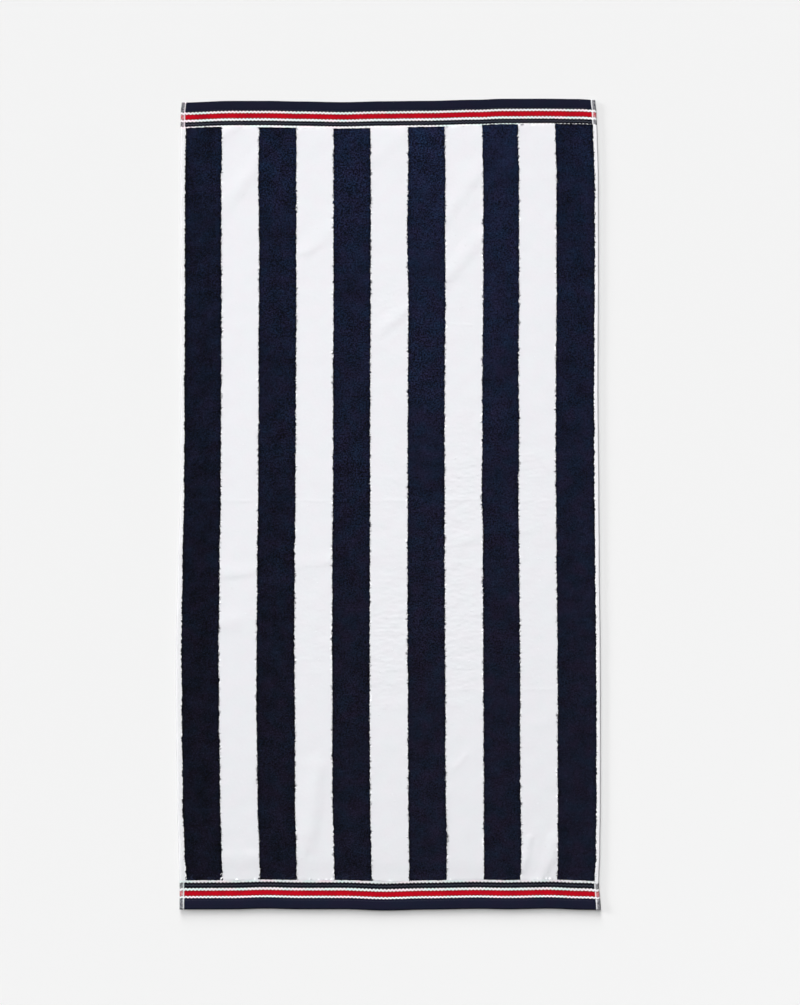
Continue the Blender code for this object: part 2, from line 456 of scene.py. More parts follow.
@dataclass(frozen=True)
class Layout:
    """Where the stripes and bands fall on the cloth.

    Attributes:
        far_in: A length past the middle of the cloth, up to which insets are measured.
        drift: How far a stripe's edge strays slowly, and drift_size, over what length.
        waver: How far pile makes that edge waver, and waver_size, over what length.
    """

    far_in: float = 2.0
    drift: float = 0.0004
    drift_size: float = 0.140
    waver: float = 0.0006
    waver_size: float = 0.009

    @property
    def top_edges(self) -> Array:
        """How far in from the top each band starts, and then where the pile starts."""
        return np.cumsum([0.0] + [row.at_top for row in BORDER])

    @property
    def foot_edges(self) -> Array:
        """How far in from the foot each band starts, and then where the pile starts."""
        return np.cumsum([0.0] + [row.at_foot for row in BORDER])

    @property
    def mean_edges(self) -> Array:
        """The band edges of the two ends taken together, which the cloth's finish is laid out by."""
        return (self.top_edges + self.foot_edges) / 2

    def mean_inset(self, v: Array) -> Array:
        """Measures how far in from its nearest end each point is, on the scale of mean_edges.

        Args:
            v: Places along the cloth.

        Returns:
            The inset of each place.
        """
        far = [self.far_in + self.mean_edges[-1]]
        mean = np.concatenate([self.mean_edges, far])
        foot = np.interp(v, np.concatenate([self.foot_edges, far]), mean)
        top = np.interp(CLOTH_LENGTH - v, np.concatenate([self.top_edges, far]), mean)
        return np.minimum(foot, top)

    def pull(self, order: int, y: Array) -> Array:
        """Adds up how far sideways the lie of the cloth drags a stripe's edge.

        Args:
            order: Which edge, as in stripe_edge.
            y: Places along the towel as it lies.

        Returns:
            The edge's shift to the right at each place.
        """
        total = np.zeros_like(y)
        for row in PULL_ROWS:
            if row.order == order:
                total = total + row.shift * (1.0 - eased(np.abs(y - row.y) / row.reach))
        return total

    def stripe_edge(self, order: int, v: Array, y: Array) -> Array:
        """Finds how far across the cloth a stripe's edge runs, with the waver of its pile.

        Args:
            order: 0 for the first stripe's left edge, up to the last stripe's right edge.
            v: Places along the cloth.
            y: Where those places lie.

        Returns:
            The edge's u at each place.
        """
        left = read_rows(SIDE_ROWS, "y", "left_hem", y)
        right = CLOTH_WIDTH - read_rows(SIDE_ROWS, "y", "right_hem", y)
        widths = np.array([row.width for row in STRIPES])
        share = float(widths[:order].sum() / widths.sum())
        drift = self.drift * soft_noise(v, np.zeros_like(v), self.drift_size, 100 + order)
        waver = self.waver * soft_noise(v, np.zeros_like(v), self.waver_size, 200 + order)
        return left + (right - left) * share + drift + waver + self.pull(order, y)


# ---------------------------------------------------------------------------------------------
# Help with node trees and meshes
# ---------------------------------------------------------------------------------------------


class Tree:
    """Adds nodes to one node tree and joins them."""

    def __init__(self, tree: bpy.types.NodeTree) -> None:
        """Takes the node tree to build."""
        self.tree = tree

    def add(
        self,
        kind: str,
        inputs: Mapping[str | int, Any] | None = None,
        **settings: Any,
    ) -> bpy.types.Node:
        """Adds a node.

        Args:
            kind: The node's type.
            inputs: A value, or another node's socket, for each input that is set.
            **settings: The node's own properties.

        Returns:
            The new node.
        """
        node = self.tree.nodes.new(kind)
        for name, value in settings.items():
            setattr(node, name, value)
        for key, value in (inputs or {}).items():
            self.put(value, node.inputs[key])
        return node

    def put(self, value: Any, socket: Socket) -> None:
        """Feeds a socket.

        Args:
            value: Another node's socket, or a plain value.
            socket: The input that takes it.
        """
        if isinstance(value, bpy.types.NodeSocket):
            self.tree.links.new(value, socket)
        else:
            socket.default_value = value

    def maths(self, operation: str, first: Any, second: Any = 0.0, third: Any = 0.0) -> Socket:
        """Adds one step of arithmetic.

        Args:
            operation: The step's kind.
            first: The first number, as a value or a socket.
            second: The second number.
            third: The third number.

        Returns:
            The result's socket.
        """
        inputs = {0: first, 1: second, 2: third}
        return self.add("ShaderNodeMath", inputs, operation=operation).outputs[0]

    def scaled(self, value: Any, low: float, high: float, to_low: float, to_high: float) -> Socket:
        """Moves a number from one range to another and keeps it inside.

        Args:
            value: The number, as a value or a socket.
            low: The low end of its own range.
            high: The high end of its own range.
            to_low: What the low end becomes.
            to_high: What the high end becomes.

        Returns:
            The result's socket.
        """
        inputs = {0: value, 1: low, 2: high, 3: to_low, 4: to_high}
        return self.add("ShaderNodeMapRange", inputs).outputs[0]

    def blend(self, share: Any, first: Any, second: Any, mode: str = "MIX") -> Socket:
        """Blends two colours.

        Args:
            share: How far the blend goes.
            first: The first colour, as a value or a socket.
            second: The second colour.
            mode: The kind of blend.

        Returns:
            The blended colour's socket.
        """
        inputs = {0: share, 6: first, 7: second}
        node = self.add("ShaderNodeMix", inputs, data_type="RGBA", blend_type=mode)
        return node.outputs[2]

    def noise(self, place: Any, scale: float, detail: float = 2.0, rough: float = 0.5) -> Socket:
        """Adds a noise of about 1 / scale metres.

        Args:
            place: The place that it is read at.
            scale: How many times it changes in a metre.
            detail: How many finer layers it has.
            rough: How strong those layers are.

        Returns:
            The socket of its value, from 0 to 1.
        """
        inputs = {"Vector": place, "Scale": scale, "Detail": detail, "Roughness": rough}
        return self.add("ShaderNodeTexNoise", inputs).outputs["Fac"]

    def group(self, group: bpy.types.NodeTree, place: Socket) -> bpy.types.Node:
        """Places a shader group that reads a place."""
        return self.add("ShaderNodeGroup", {"Place": place}, node_tree=group)

    def attribute(self, name: str) -> Socket:
        """A named number kept on the mesh, for a material."""
        return self.add("ShaderNodeAttribute", attribute_name=name).outputs["Fac"]

    def steps(
        self,
        place: Any,
        size: float,
        edges: Sequence[float],
        colours: Sequence[tuple[float, ...]],
    ) -> Socket:
        """Lays flat bands of colour along one measure.

        Args:
            place: The measure, from 0.
            size: The measure at which the last band ends.
            edges: Where each band starts.
            colours: Each band's colour.

        Returns:
            The colour's socket.
        """
        share = self.maths("DIVIDE", place, size)
        ramp = self.add("ShaderNodeValToRGB", {0: share})
        ramp.color_ramp.interpolation = "CONSTANT"
        stops = ramp.color_ramp.elements
        while len(stops) < len(colours):
            stops.new(1.0)
        for stop, edge, colour in zip(stops, edges, colours):
            stop.position = edge / size
            stop.color = colour
        return ramp.outputs["Color"]


def new_group(
    name: str, kind: str, takes: Mapping[str, Any], gives: Mapping[str, str]
) -> tuple[bpy.types.NodeTree, Tree, bpy.types.Node, bpy.types.Node]:
    """Starts a node group with named inputs and outputs.

    Args:
        name: The group's name.
        kind: ShaderNodeTree or GeometryNodeTree.
        takes: For each input, its socket type, or its type and default value.
        gives: For each output, its socket type.

    Returns:
        The group, its Tree, its input node and its output node.
    """
    group = bpy.data.node_groups.new(name, kind)
    for label, spec in takes.items():
        socket_type, default = spec if isinstance(spec, tuple) else (spec, None)
        socket = group.interface.new_socket(label, in_out="INPUT", socket_type=socket_type)
        if default is not None:
            socket.default_value = default
    for label, socket_type in gives.items():
        group.interface.new_socket(label, in_out="OUTPUT", socket_type=socket_type)
    tree = Tree(group)
    return group, tree, tree.add("NodeGroupInput"), tree.add("NodeGroupOutput")


FLOAT = "NodeSocketFloat"
VECTOR = "NodeSocketVector"
GEOMETRY = "NodeSocketGeometry"
INT = "NodeSocketInt"
MATERIAL = "NodeSocketMaterial"


def new_object(name: str, points: Array, faces: Sequence[Sequence[int]]) -> bpy.types.Object:
    """Makes a smooth-shaded mesh object that sits at the origin.

    Args:
        name: The object's name.
        points: Its points.
        faces: The point numbers of each face.

    Returns:
        The object.
    """
    mesh = bpy.data.meshes.new(name)
    mesh.from_pydata(points.tolist(), [], faces)
    mesh.shade_smooth()
    mesh.update()
    made = bpy.data.objects.new(name, mesh)
    bpy.context.scene.collection.objects.link(made)
    return made


def put_values(mesh: bpy.types.Mesh, name: str, values: Array) -> None:
    """Keeps one number for each point of a mesh, as a named attribute."""
    layer = mesh.attributes.new(name, "FLOAT", "POINT")
    layer.data.foreach_set("value", np.asarray(values, np.float32))


def put_cloth_map(mesh: bpy.types.Mesh, u: Array, v: Array) -> None:
    """Keeps each point's place on the cloth, in metres, as the mesh's UV map.

    Args:
        mesh: The mesh.
        u: Each point's place across the cloth.
        v: Each point's place along it.
    """
    layer = mesh.uv_layers.new(name="cloth")
    corners = np.empty(len(mesh.loops), np.int32)
    mesh.loops.foreach_get("vertex_index", corners)
    layer.data.foreach_set("uv", np.stack([u[corners], v[corners]], axis=-1).ravel())


def run_nodes(
    piece: bpy.types.Object, group: bpy.types.NodeTree, values: Mapping[str, Any]
) -> bpy.types.Object:
    """Runs a Geometry Nodes tree on a piece and keeps the result as its plain mesh.

    Args:
        piece: The object that holds the tree's starting mesh.
        group: The tree.
        values: A value for each named input.

    Returns:
        The piece.
    """
    modifier = piece.modifiers.new(group.name, "NODES")
    modifier.node_group = group
    inputs = {
        item.name: item.identifier
        for item in group.interface.items_tree
        if item.item_type == "SOCKET" and item.in_out == "INPUT"
    }
    for label, value in values.items():
        modifier[inputs[label]] = value
    graph = bpy.context.evaluated_depsgraph_get()
    result = bpy.data.meshes.new_from_object(piece.evaluated_get(graph), depsgraph=graph)
    piece.modifiers.remove(modifier)
    before, piece.data = piece.data, result
    bpy.data.meshes.remove(before)
    result.name = piece.name
    result.materials.clear()
    result.materials.append(values["Material"])
    result.polygons.foreach_set("material_index", np.zeros(len(result.polygons), np.int32))
    return piece


def sparse(count: int, every: int) -> Array:
    """Some of a grid's places: every so many, with the first and the last."""
    return np.unique(np.append(np.arange(0, count, every), count - 1))


def outline(wide: int, deep: int) -> list[tuple[int, int]]:
    """Walks round a grid's edge, anticlockwise from its first corner.

    Args:
        wide: How many places the grid has across.
        deep: How many it has along.

    Returns:
        The column and row of each place.
    """
    foot = [(i, 0) for i in range(wide - 1)]
    right = [(wide - 1, j) for j in range(deep - 1)]
    top = [(i, deep - 1) for i in range(wide - 1, 0, -1)]
    left = [(0, j) for j in range(deep - 1, 0, -1)]
    return foot + right + top + left


def grid_faces(wide: int, deep: int, start: int, downward: bool) -> list[list[int]]:
    """Makes the faces of a grid of points.

    Args:
        wide: How many points the grid has across.
        deep: How many it has along.
        start: The number of its first point.
        downward: Whether the faces look down.

    Returns:
        The point numbers of each face.
    """
    i, j = np.meshgrid(np.arange(wide - 1), np.arange(deep - 1))
    corner = start + (j * wide + i).ravel()
    faces = np.stack([corner, corner + 1, corner + 1 + wide, corner + wide], axis=-1)
    return (faces[:, ::-1] if downward else faces).tolist()


def ring_faces(lower: Array, upper: Array) -> list[list[int]]:
    """The faces between two rings of the same points."""
    lower_next, upper_next = np.roll(lower, -1), np.roll(upper, -1)
    return np.stack([lower, lower_next, upper_next, upper], axis=-1).tolist()


class Slab:
    """A thin closed body: a grid above, rings of points round its edge, a sparser grid below."""

    def __init__(self, wide: int, deep: int, every_column: int, every_row: int) -> None:
        """Lays out the grids.

        Args:
            wide: How many points the upper grid has across.
            deep: How many it has along.
            every_column: How many of its columns the lower grid has one for.
            every_row: How many of its rows the lower grid has one for.
        """
        self.wide, self.deep = wide, deep
        self.under_i, self.under_j = sparse(wide, every_column), sparse(deep, every_row)
        self.keys = np.array(outline(wide, deep))

    @property
    def edge(self) -> Array:
        """The numbers of the upper grid's outline points."""
        return self.keys[:, 1] * self.wide + self.keys[:, 0]

    def make(self, name: str, upper: Array, rings: Sequence[Array], lower: Array) -> bpy.types.Object:
        """Makes the body from its points.

        Args:
            name: The object's name.
            upper: The upper grid's points.
            rings: Each ring's points, from the top down, in the order of keys.
            lower: The lower grid's points.

        Returns:
            The object.
        """
        points = np.concatenate([part.reshape(-1, 3) for part in (upper, *rings, lower)])
        count, start = len(self.keys), self.wide * self.deep
        start_lower = start + len(rings) * count
        loops = [self.edge] + [start + k * count + np.arange(count) for k in range(len(rings))]
        faces = grid_faces(self.wide, self.deep, 0, False)
        for inner, outer in zip(loops, loops[1:]):
            faces += ring_faces(outer, inner)
        faces += grid_faces(len(self.under_i), len(self.under_j), start_lower, True)
        faces += self.join(loops[-1], start_lower)
        return new_object(name, points, faces)

    def join(self, ring: Array, start: int) -> list[list[int]]:
        """Makes the faces that join the lowest ring to the sparser grid.

        Args:
            ring: The ring's point numbers.
            start: The number of the sparser grid's first point.

        Returns:
            The point numbers of each face.
        """
        column = {int(i): place for place, i in enumerate(self.under_i)}
        row = {int(j): place for place, j in enumerate(self.under_j)}
        count = len(self.keys)
        shared = [n for n, (i, j) in enumerate(self.keys) if int(i) in column and int(j) in row]
        faces = []
        for here, then in zip(shared, shared[1:] + [shared[0] + count]):
            run = [int(ring[n % count]) for n in range(here, then + 1)]
            ends = [self.keys[n % count] for n in (here, then)]
            below = [start + row[int(j)] * len(column) + column[int(i)] for i, j in ends]
            faces.append([below[0], below[1], *reversed(run)])
        return faces


# ---------------------------------------------------------------------------------------------
# Finishes
# ---------------------------------------------------------------------------------------------


class Effects:
    """Shader groups that several finishes use."""

    def __init__(self) -> None:
        """Builds each group once."""
        self.loops = self.make_loops()
        self.ribs = self.make_ribs()
        self.mottle = self.make_mottle()

    def make_loops(self) -> bpy.types.NodeTree:
        """Terry loops: small rounded nubs that lean every way.

        Returns:
            The group, which gives the nubs' height.
        """
        takes = {"Place": VECTOR, "Loop Size": (FLOAT, 0.0014), "Lean": (FLOAT, 0.0010)}
        gives = {"Height": FLOAT}
        group, tree, start, end = new_group("terry_loops", "ShaderNodeTree", takes, gives)
        sway = tree.add("ShaderNodeTexNoise", {"Vector": start.outputs["Place"], "Scale": 420.0})
        centred = tree.add(
            "ShaderNodeVectorMath",
            {0: sway.outputs["Color"], 1: (0.5, 0.5, 0.5)},
            operation="SUBTRACT",
        )
        leaning = tree.add(
            "ShaderNodeVectorMath",
            {0: centred.outputs[0], "Scale": start.outputs["Lean"]},
            operation="SCALE",
        )
        place = tree.add(
            "ShaderNodeVectorMath",
            {0: start.outputs["Place"], 1: leaning.outputs[0]},
            operation="ADD",
        )
        scale = tree.maths("DIVIDE", 1.0, start.outputs["Loop Size"])
        cells = tree.add(
            "ShaderNodeTexVoronoi",
            {"Vector": place.outputs[0], "Scale": scale},
            feature="SMOOTH_F1",
        )
        dome = tree.scaled(cells.outputs["Distance"], 0.05, 0.75, 1.0, 0.0)
        tree.put(dome, end.inputs["Height"])
        return group

    def make_ribs(self) -> bpy.types.NodeTree:
        """A ribbed weave: weft threads laid across, bound down by the warp at a steady pitch.

        Returns:
            The group, which gives the weave's height.
        """
        takes = {
            "Place": VECTOR,
            "Weft Pitch": (FLOAT, 0.0009),
            "Warp Pitch": (FLOAT, 0.0011),
        }
        gives = {"Height": FLOAT}
        group, tree, start, end = new_group("ribbed_weave", "ShaderNodeTree", takes, gives)
        parts = tree.add("ShaderNodeSeparateXYZ", {0: start.outputs["Place"]})
        turn = 2 * np.pi
        warp_phase = tree.maths("DIVIDE", parts.outputs["X"], start.outputs["Warp Pitch"])
        weft_phase = tree.maths("DIVIDE", parts.outputs["Y"], start.outputs["Weft Pitch"])
        warp_wave = tree.maths("SINE", tree.maths("MULTIPLY", warp_phase, turn))
        stagger = tree.maths("MULTIPLY", tree.maths("SIGN", warp_wave), 0.25)
        weft_turns = tree.maths("ADD", weft_phase, stagger)
        weft_wave = tree.maths("SINE", tree.maths("MULTIPLY", weft_turns, turn))
        bound = tree.scaled(warp_wave, 0.2, 1.0, 0.0, 1.0)
        height = tree.maths("MULTIPLY_ADD", weft_wave, 0.35, 0.5)
        tree.put(tree.maths("MULTIPLY_ADD", bound, -0.25, height), end.inputs["Height"])
        return group

    def make_mottle(self) -> bpy.types.NodeTree:
        """The uneven tone of cotton pile: patches, clumps, shifts of hue, ruffled areas, and pale
        specks that are partly lint and partly painted glints where loops catch the light.

        Returns:
            The group, which gives each of them as a number.
        """
        takes = {"Place": VECTOR}
        names = ("Patches", "Clumps", "Grain", "Hue", "Ruffle", "Lint And Glints")
        gives = {name: FLOAT for name in names}
        group, tree, start, end = new_group("cotton_mottle", "ShaderNodeTree", takes, gives)
        place = start.outputs["Place"]
        parts = tree.add("ShaderNodeSeparateXYZ", {0: place})
        across, along = parts.outputs["X"], parts.outputs["Y"]
        tree.put(tree.noise(place, 26.0, 4.0, 0.60), end.inputs["Patches"])
        tree.put(tree.noise(place, 170.0, 3.0, 0.70), end.inputs["Clumps"])
        grain = tree.noise(place, 320.0, 1.0, 0.6)
        tree.put(tree.scaled(grain, 0.28, 0.72, -1.0, 1.0), end.inputs["Grain"])
        drift = tree.add("ShaderNodeVectorMath", {0: place, 1: (3.1, 7.7, 0.0)}, operation="ADD")
        tree.put(tree.noise(drift.outputs[0], 30.0, 1.5, 0.5), end.inputs["Hue"])
        rubbed = tree.scaled(tree.noise(drift.outputs[0], 5.0, 2.0), 0.35, 0.65, 0.45, 1.35)
        upper = tree.scaled(along, 0.3, 1.55, 0.78, 1.45)
        rubbed = tree.maths("MULTIPLY", rubbed, upper)
        from_left = tree.scaled(across, 0.03, 0.36, 0.45, 1.12)
        from_right = tree.scaled(across, 0.52, 0.86, 1.12, 0.55)
        inner = tree.maths("MULTIPLY", from_left, from_right)
        tree.put(tree.maths("MULTIPLY", rubbed, inner), end.inputs["Ruffle"])
        # Pale specks: partly lint, partly painted glints where loops catch the light.
        lint = tree.noise(place, 520.0, 1.0, 0.5)
        tree.put(tree.scaled(lint, 0.64, 0.74, 0.0, 1.0), end.inputs["Lint And Glints"])
        return group


def cloth_place(tree: Tree) -> Socket:
    """The place on the cloth, from the mesh's UV map."""
    return tree.add("ShaderNodeUVMap", uv_map="cloth").outputs["UV"]


def matt_shader(tree: Tree, **sockets: Any) -> None:
    """Ends a material in matt cotton, with the slight pale bloom that fibres give at a slant.

    Args:
        tree: The material's tree.
        **sockets: What each of the shader's own sockets takes.
    """
    steady = {
        "Roughness": 0.92,
        "Specular IOR Level": 0.04,
        "Sheen Weight": 0.02,
        "Sheen Roughness": 0.60,
    }
    shader = tree.add("ShaderNodeBsdfPrincipled", steady | sockets)
    output = tree.add("ShaderNodeOutputMaterial")
    tree.put(shader.outputs["BSDF"], output.inputs["Surface"])


def empty_material(name: str) -> tuple[bpy.types.Material, Tree]:
    """Starts a material.

    Args:
        name: The material's name.

    Returns:
        The material, and the Tree of its empty node tree.
    """
    material = bpy.data.materials.new(name)
    material.use_nodes = True
    material.node_tree.nodes.clear()
    return material, Tree(material.node_tree)


@dataclass(frozen=True)
class PileFinish:
    """The look of one dye's looped pile.

    Attributes:
        name: The material's name.
        head: The colour at the head of the towel, lighter there with painted sheen from the light at
            the head.
        foot: The colour at its foot, where that painted sheen has faded.
        patch_share: How far broad patches move the tone.
        clump_share: How far clumps of loops move it.
        pit_shade_and_grain_share: How far each loop moves it, with painted shade on low loops,
            painted light on high ones, and random grain.
        warm: The tint where the hue is warmest.
        cool: The tint where it is coolest.
        lint_and_glint: The colour of the pale specks, partly lint and partly painted glints where
            loops catch the light.
        lint_and_glint_share: How far those specks cover the dye.
        edge_shade: How far the tone falls at the stripe's edge, as painted shade where the pile rolls
            down.
        across_share: How far the tone rises from the towel's left side to its middle.
        bump: How strong the loops' bump is.
        least_tone: The darkest that the tone may fall to.
    """

    name: str
    head: tuple[float, float, float]
    foot: tuple[float, float, float]
    patch_share: float
    clump_share: float
    pit_shade_and_grain_share: float
    warm: tuple[float, float, float]
    cool: tuple[float, float, float]
    lint_and_glint: tuple[float, float, float]
    lint_and_glint_share: float
    edge_shade: float
    across_share: float
    bump: float
    least_tone: float = 0.15

    def make(self, effects: Effects) -> bpy.types.Material:
        """Builds the material.

        Args:
            effects: The shader groups.

        Returns:
            The material.
        """
        material, tree = empty_material(self.name)
        place = cloth_place(tree)
        parts = tree.add("ShaderNodeSeparateXYZ", {0: place})
        across, along = parts.outputs["X"], parts.outputs["Y"]
        mottle = tree.group(effects.mottle, place)
        loops = tree.group(effects.loops, place)
        # Painted sheen: the colour grows lighter toward the head of the towel, where the light
        # stands.
        headward = tree.scaled(along, 0.30 * CLOTH_LENGTH, CLOTH_LENGTH, 0.0, 1.0)
        dye = tree.blend(headward, (*self.foot, 1.0), (*self.head, 1.0))
        hue = tree.scaled(mottle.outputs["Hue"], 0.34, 0.66, 0.0, 1.0)
        tint = tree.blend(hue, (*self.warm, 1.0), (*self.cool, 1.0))
        dye = tree.blend(1.0, dye, tint, "MULTIPLY")
        tone = self.tone(tree, across, headward, mottle)
        colour = tree.blend(1.0, dye, tone, "MULTIPLY")
        # Pale specks, partly lint and partly painted glints.
        lint_and_glints = tree.maths("MULTIPLY", mottle.outputs["Lint And Glints"], self.lint_and_glint_share)
        colour = tree.blend(lint_and_glints, colour, (*self.lint_and_glint, 1.0))
        bump = tree.add(
            "ShaderNodeBump",
            {"Strength": self.bump, "Distance": 0.0006, "Height": loops.outputs["Height"]},
        )
        matt_shader(tree, **{"Base Color": colour, "Normal": bump.outputs["Normal"]})
        return material

    def tone(self, tree: Tree, across: Socket, headward: Socket, mottle: bpy.types.Node) -> Socket:
        """Moves the dye up and down with the patches and clumps, with painted shade and light on the
        loops, and with painted shade at the stripe's edge.

        Args:
            tree: The material's tree.
            across: The place across the cloth.
            headward: How near the head of the towel is, from 0 to 1.
            mottle: The mottle group's node.

        Returns:
            The number that multiplies the dye.
        """
        patches = tree.scaled(mottle.outputs["Patches"], 0.30, 0.70, -1.0, 1.0)
        clumps = tree.scaled(mottle.outputs["Clumps"], 0.30, 0.70, -1.0, 1.0)
        # Painted shade and light: low loops darker and high loops lighter, by the loft that also sets
        # their height; the grain is random.
        pit_shade_and_grain = tree.maths("MULTIPLY_ADD", tree.attribute("loft"), 0.7, -0.35)
        pit_shade_and_grain = tree.maths("ADD", pit_shade_and_grain, mottle.outputs["Grain"])
        pit_shade_and_grain = tree.maths("MULTIPLY", pit_shade_and_grain, mottle.outputs["Ruffle"])
        # A broad change of tone across the towel: rising from its left side to its middle, and
        # falling on its right toward the head.
        across_rise = tree.scaled(across, 0.0, 0.52, -1.0, 1.0)
        right_head_fall = tree.scaled(across, 0.76, 0.83, 0.0, 1.3)
        across_rise = tree.maths("SUBTRACT", across_rise, tree.maths("MULTIPLY", right_head_fall, headward))
        total = tree.maths("MULTIPLY", patches, self.patch_share)
        total = tree.maths("MULTIPLY_ADD", across_rise, self.across_share, total)
        total = tree.maths("MULTIPLY_ADD", clumps, self.clump_share, total)
        total = tree.maths("MULTIPLY_ADD", pit_shade_and_grain, self.pit_shade_and_grain_share, total)
        # Painted shade at the stripe's edge.
        total = tree.maths("MULTIPLY_ADD", tree.attribute("brink"), -self.edge_shade, total)
        return tree.maths("MAXIMUM", tree.maths("ADD", total, 1.0), self.least_tone)


@dataclass(frozen=True)
class ClothPlaces:
    """Where each point of the sheet is, as sockets of its finish.

    Attributes:
        across: The place across the cloth.
        side: How far in from its nearest side the point is.
        inset: How far in from its nearest end.
        in_border: Whether it is in a border, from 0 to 1.
        in_hem: Whether it is in a side hem, from 0 to 1.
    """

    across: Socket
    side: Socket
    inset: Socket
    in_border: Socket
    in_hem: Socket


@dataclass(frozen=True)
class ClothFinish:
    """The look of the woven sheet: striped ground, banded borders and white side hems.

    Attributes:
        layout: Where the stripes and bands fall.
        hem_width: How far in a side hem covers the border.
        fold_line: Where the hem's folded edge starts and ends, in from the side.
        turned_edge_shade_width: How far in from the side the turned edge is darkened with painted
            shade.
        tint_end: How far across the border's shifts of hue reach.
        bead: How far the warp beads a band's edge.
        bead_pitch: The pitch of those beads.
        band_edge_shade_width: How far in from its edges a band's colour is darkened with painted
            shade.
        band_edge_shade_share: How far its tone falls there.
    """

    layout: Layout
    hem_width: float = 0.0100
    fold_line: tuple[float, float] = (0.0074, 0.0079)
    turned_edge_shade_width: float = 0.0016
    tint_end: float = 0.880
    bead: float = 0.0008
    bead_pitch: float = 0.0079
    band_edge_shade_width: float = 0.0034
    band_edge_shade_share: float = 0.70

    def banded(self, tree: Tree, inset: Socket, waver: Socket) -> Socket:
        """Lays out the border's weft colours.

        Args:
            tree: The material's tree.
            inset: How far in from the towel's end each point is.
            waver: The waver of the bands' edges, of about 1.

        Returns:
            The colour's socket.
        """
        measured = tree.maths("MULTIPLY_ADD", waver, self.bead, inset)
        edges = self.layout.mean_edges
        colours = [row.dye.rgba for row in BORDER]
        colour = tree.steps(measured, float(edges[-1]), edges[:-1], colours)
        for order, row in enumerate(BORDER):
            # The end hem and the red band get painted shade along their edges.
            if row.name in ("end_hem", "red_band"):
                colour = self.band_edge_shaded(tree, measured, colour, order)
        return colour

    def band_edge_shaded(self, tree: Tree, measured: Socket, colour: Socket, order: int) -> Socket:
        """Darkens a band's colour at its two edges with painted shade, where it meets the next band.

        Args:
            tree: The material's tree.
            measured: How far in from the towel's end each point is.
            colour: The border's colour.
            order: Which band.

        Returns:
            The colour's socket.
        """
        start, stop = self.layout.mean_edges[order : order + 2]
        middle, half = float(start + stop) / 2, float(stop - start) / 2
        away = tree.maths("ABSOLUTE", tree.maths("SUBTRACT", measured, middle))
        shade_depth = tree.scaled(away, half - self.band_edge_shade_width, half, 0.0, self.band_edge_shade_share)
        in_band = tree.maths("LESS_THAN", away, half)
        shade = tree.maths("SUBTRACT", 1.0, tree.maths("MULTIPLY", shade_depth, in_band))
        return tree.blend(1.0, colour, shade, "MULTIPLY")

    def striped(self, tree: Tree, across: Socket) -> Socket:
        """Lays out the ground's warp colours.

        Args:
            tree: The material's tree.
            across: The place across the cloth.

        Returns:
            The colour's socket.
        """
        widths = np.array([row.width for row in STRIPES])
        hem = SIDE_ROWS[len(SIDE_ROWS) // 2].left_hem
        edges = np.concatenate([[0.0], hem + np.cumsum(np.concatenate([[0.0], widths]))])
        colours = [Dye.WHITE.rgba] + [row.dye.rgba for row in STRIPES] + [Dye.WHITE.rgba]
        return tree.steps(across, CLOTH_WIDTH, edges, colours)

    def measure(self, tree: Tree, place: Socket) -> ClothPlaces:
        """Finds where each point of the sheet is.

        Args:
            tree: The material's tree.
            place: The place on the cloth.

        Returns:
            The measures that the other methods share.
        """
        across = tree.add("ShaderNodeSeparateXYZ", {0: place}).outputs["X"]
        side = tree.maths("MINIMUM", across, tree.maths("SUBTRACT", CLOTH_WIDTH, across))
        inset = tree.attribute("inset")
        pile_start = float(self.layout.mean_edges[-1])
        in_border = tree.scaled(inset, pile_start - 0.0001, pile_start, 1.0, 0.0)
        field_hem = tree.scaled(tree.attribute("hem"), -0.0015, -0.0012, 0.0, 1.0)
        border_hem = tree.scaled(side, self.hem_width - 0.0003, self.hem_width, 1.0, 0.0)
        in_hem = tree.add("ShaderNodeMix", {0: in_border, 2: field_hem, 3: border_hem}).outputs[0]
        return ClothPlaces(across, side, inset, in_border, in_hem)

    def dyed(self, tree: Tree, at: ClothPlaces, mottle: bpy.types.Node) -> Socket:
        """Dyes the ground, the borders and the hems.

        Args:
            tree: The material's tree.
            at: Where each point is.
            mottle: The mottle group's node.

        Returns:
            The colour's socket.
        """
        uneven = tree.scaled(mottle.outputs["Clumps"], 0.3, 0.7, -0.4, 0.4)
        bead = tree.maths("SINE", tree.maths("MULTIPLY", at.across, 2 * np.pi / self.bead_pitch))
        border = self.banded(tree, at.inset, tree.maths("ADD", uneven, bead))
        fold_line = tree.scaled(at.side, *self.fold_line, 0.0, 0.85)
        warp_shows = tree.scaled(mottle.outputs["Clumps"], 0.35, 0.65, 0.02, 0.40)
        warp_shows = tree.maths("MAXIMUM", warp_shows, fold_line)
        hem_border = tree.blend(warp_shows, border, Dye.WHITE.rgba)
        hem = tree.blend(at.in_border, Dye.WHITE.rgba, hem_border)
        woven = tree.blend(at.in_border, self.striped(tree, at.across), border)
        return tree.blend(at.in_hem, woven, hem)

    def shaded_and_worn(self, tree: Tree, at: ClothPlaces, colour: Socket, mottle: bpy.types.Node) -> Socket:
        """Darkens the turned sides with painted shade, rubs the cloth in patches and shifts the
        borders' hue.

        Args:
            tree: The material's tree.
            at: Where each point is.
            colour: The dyed colour.
            mottle: The mottle group's node.

        Returns:
            The colour's socket.
        """
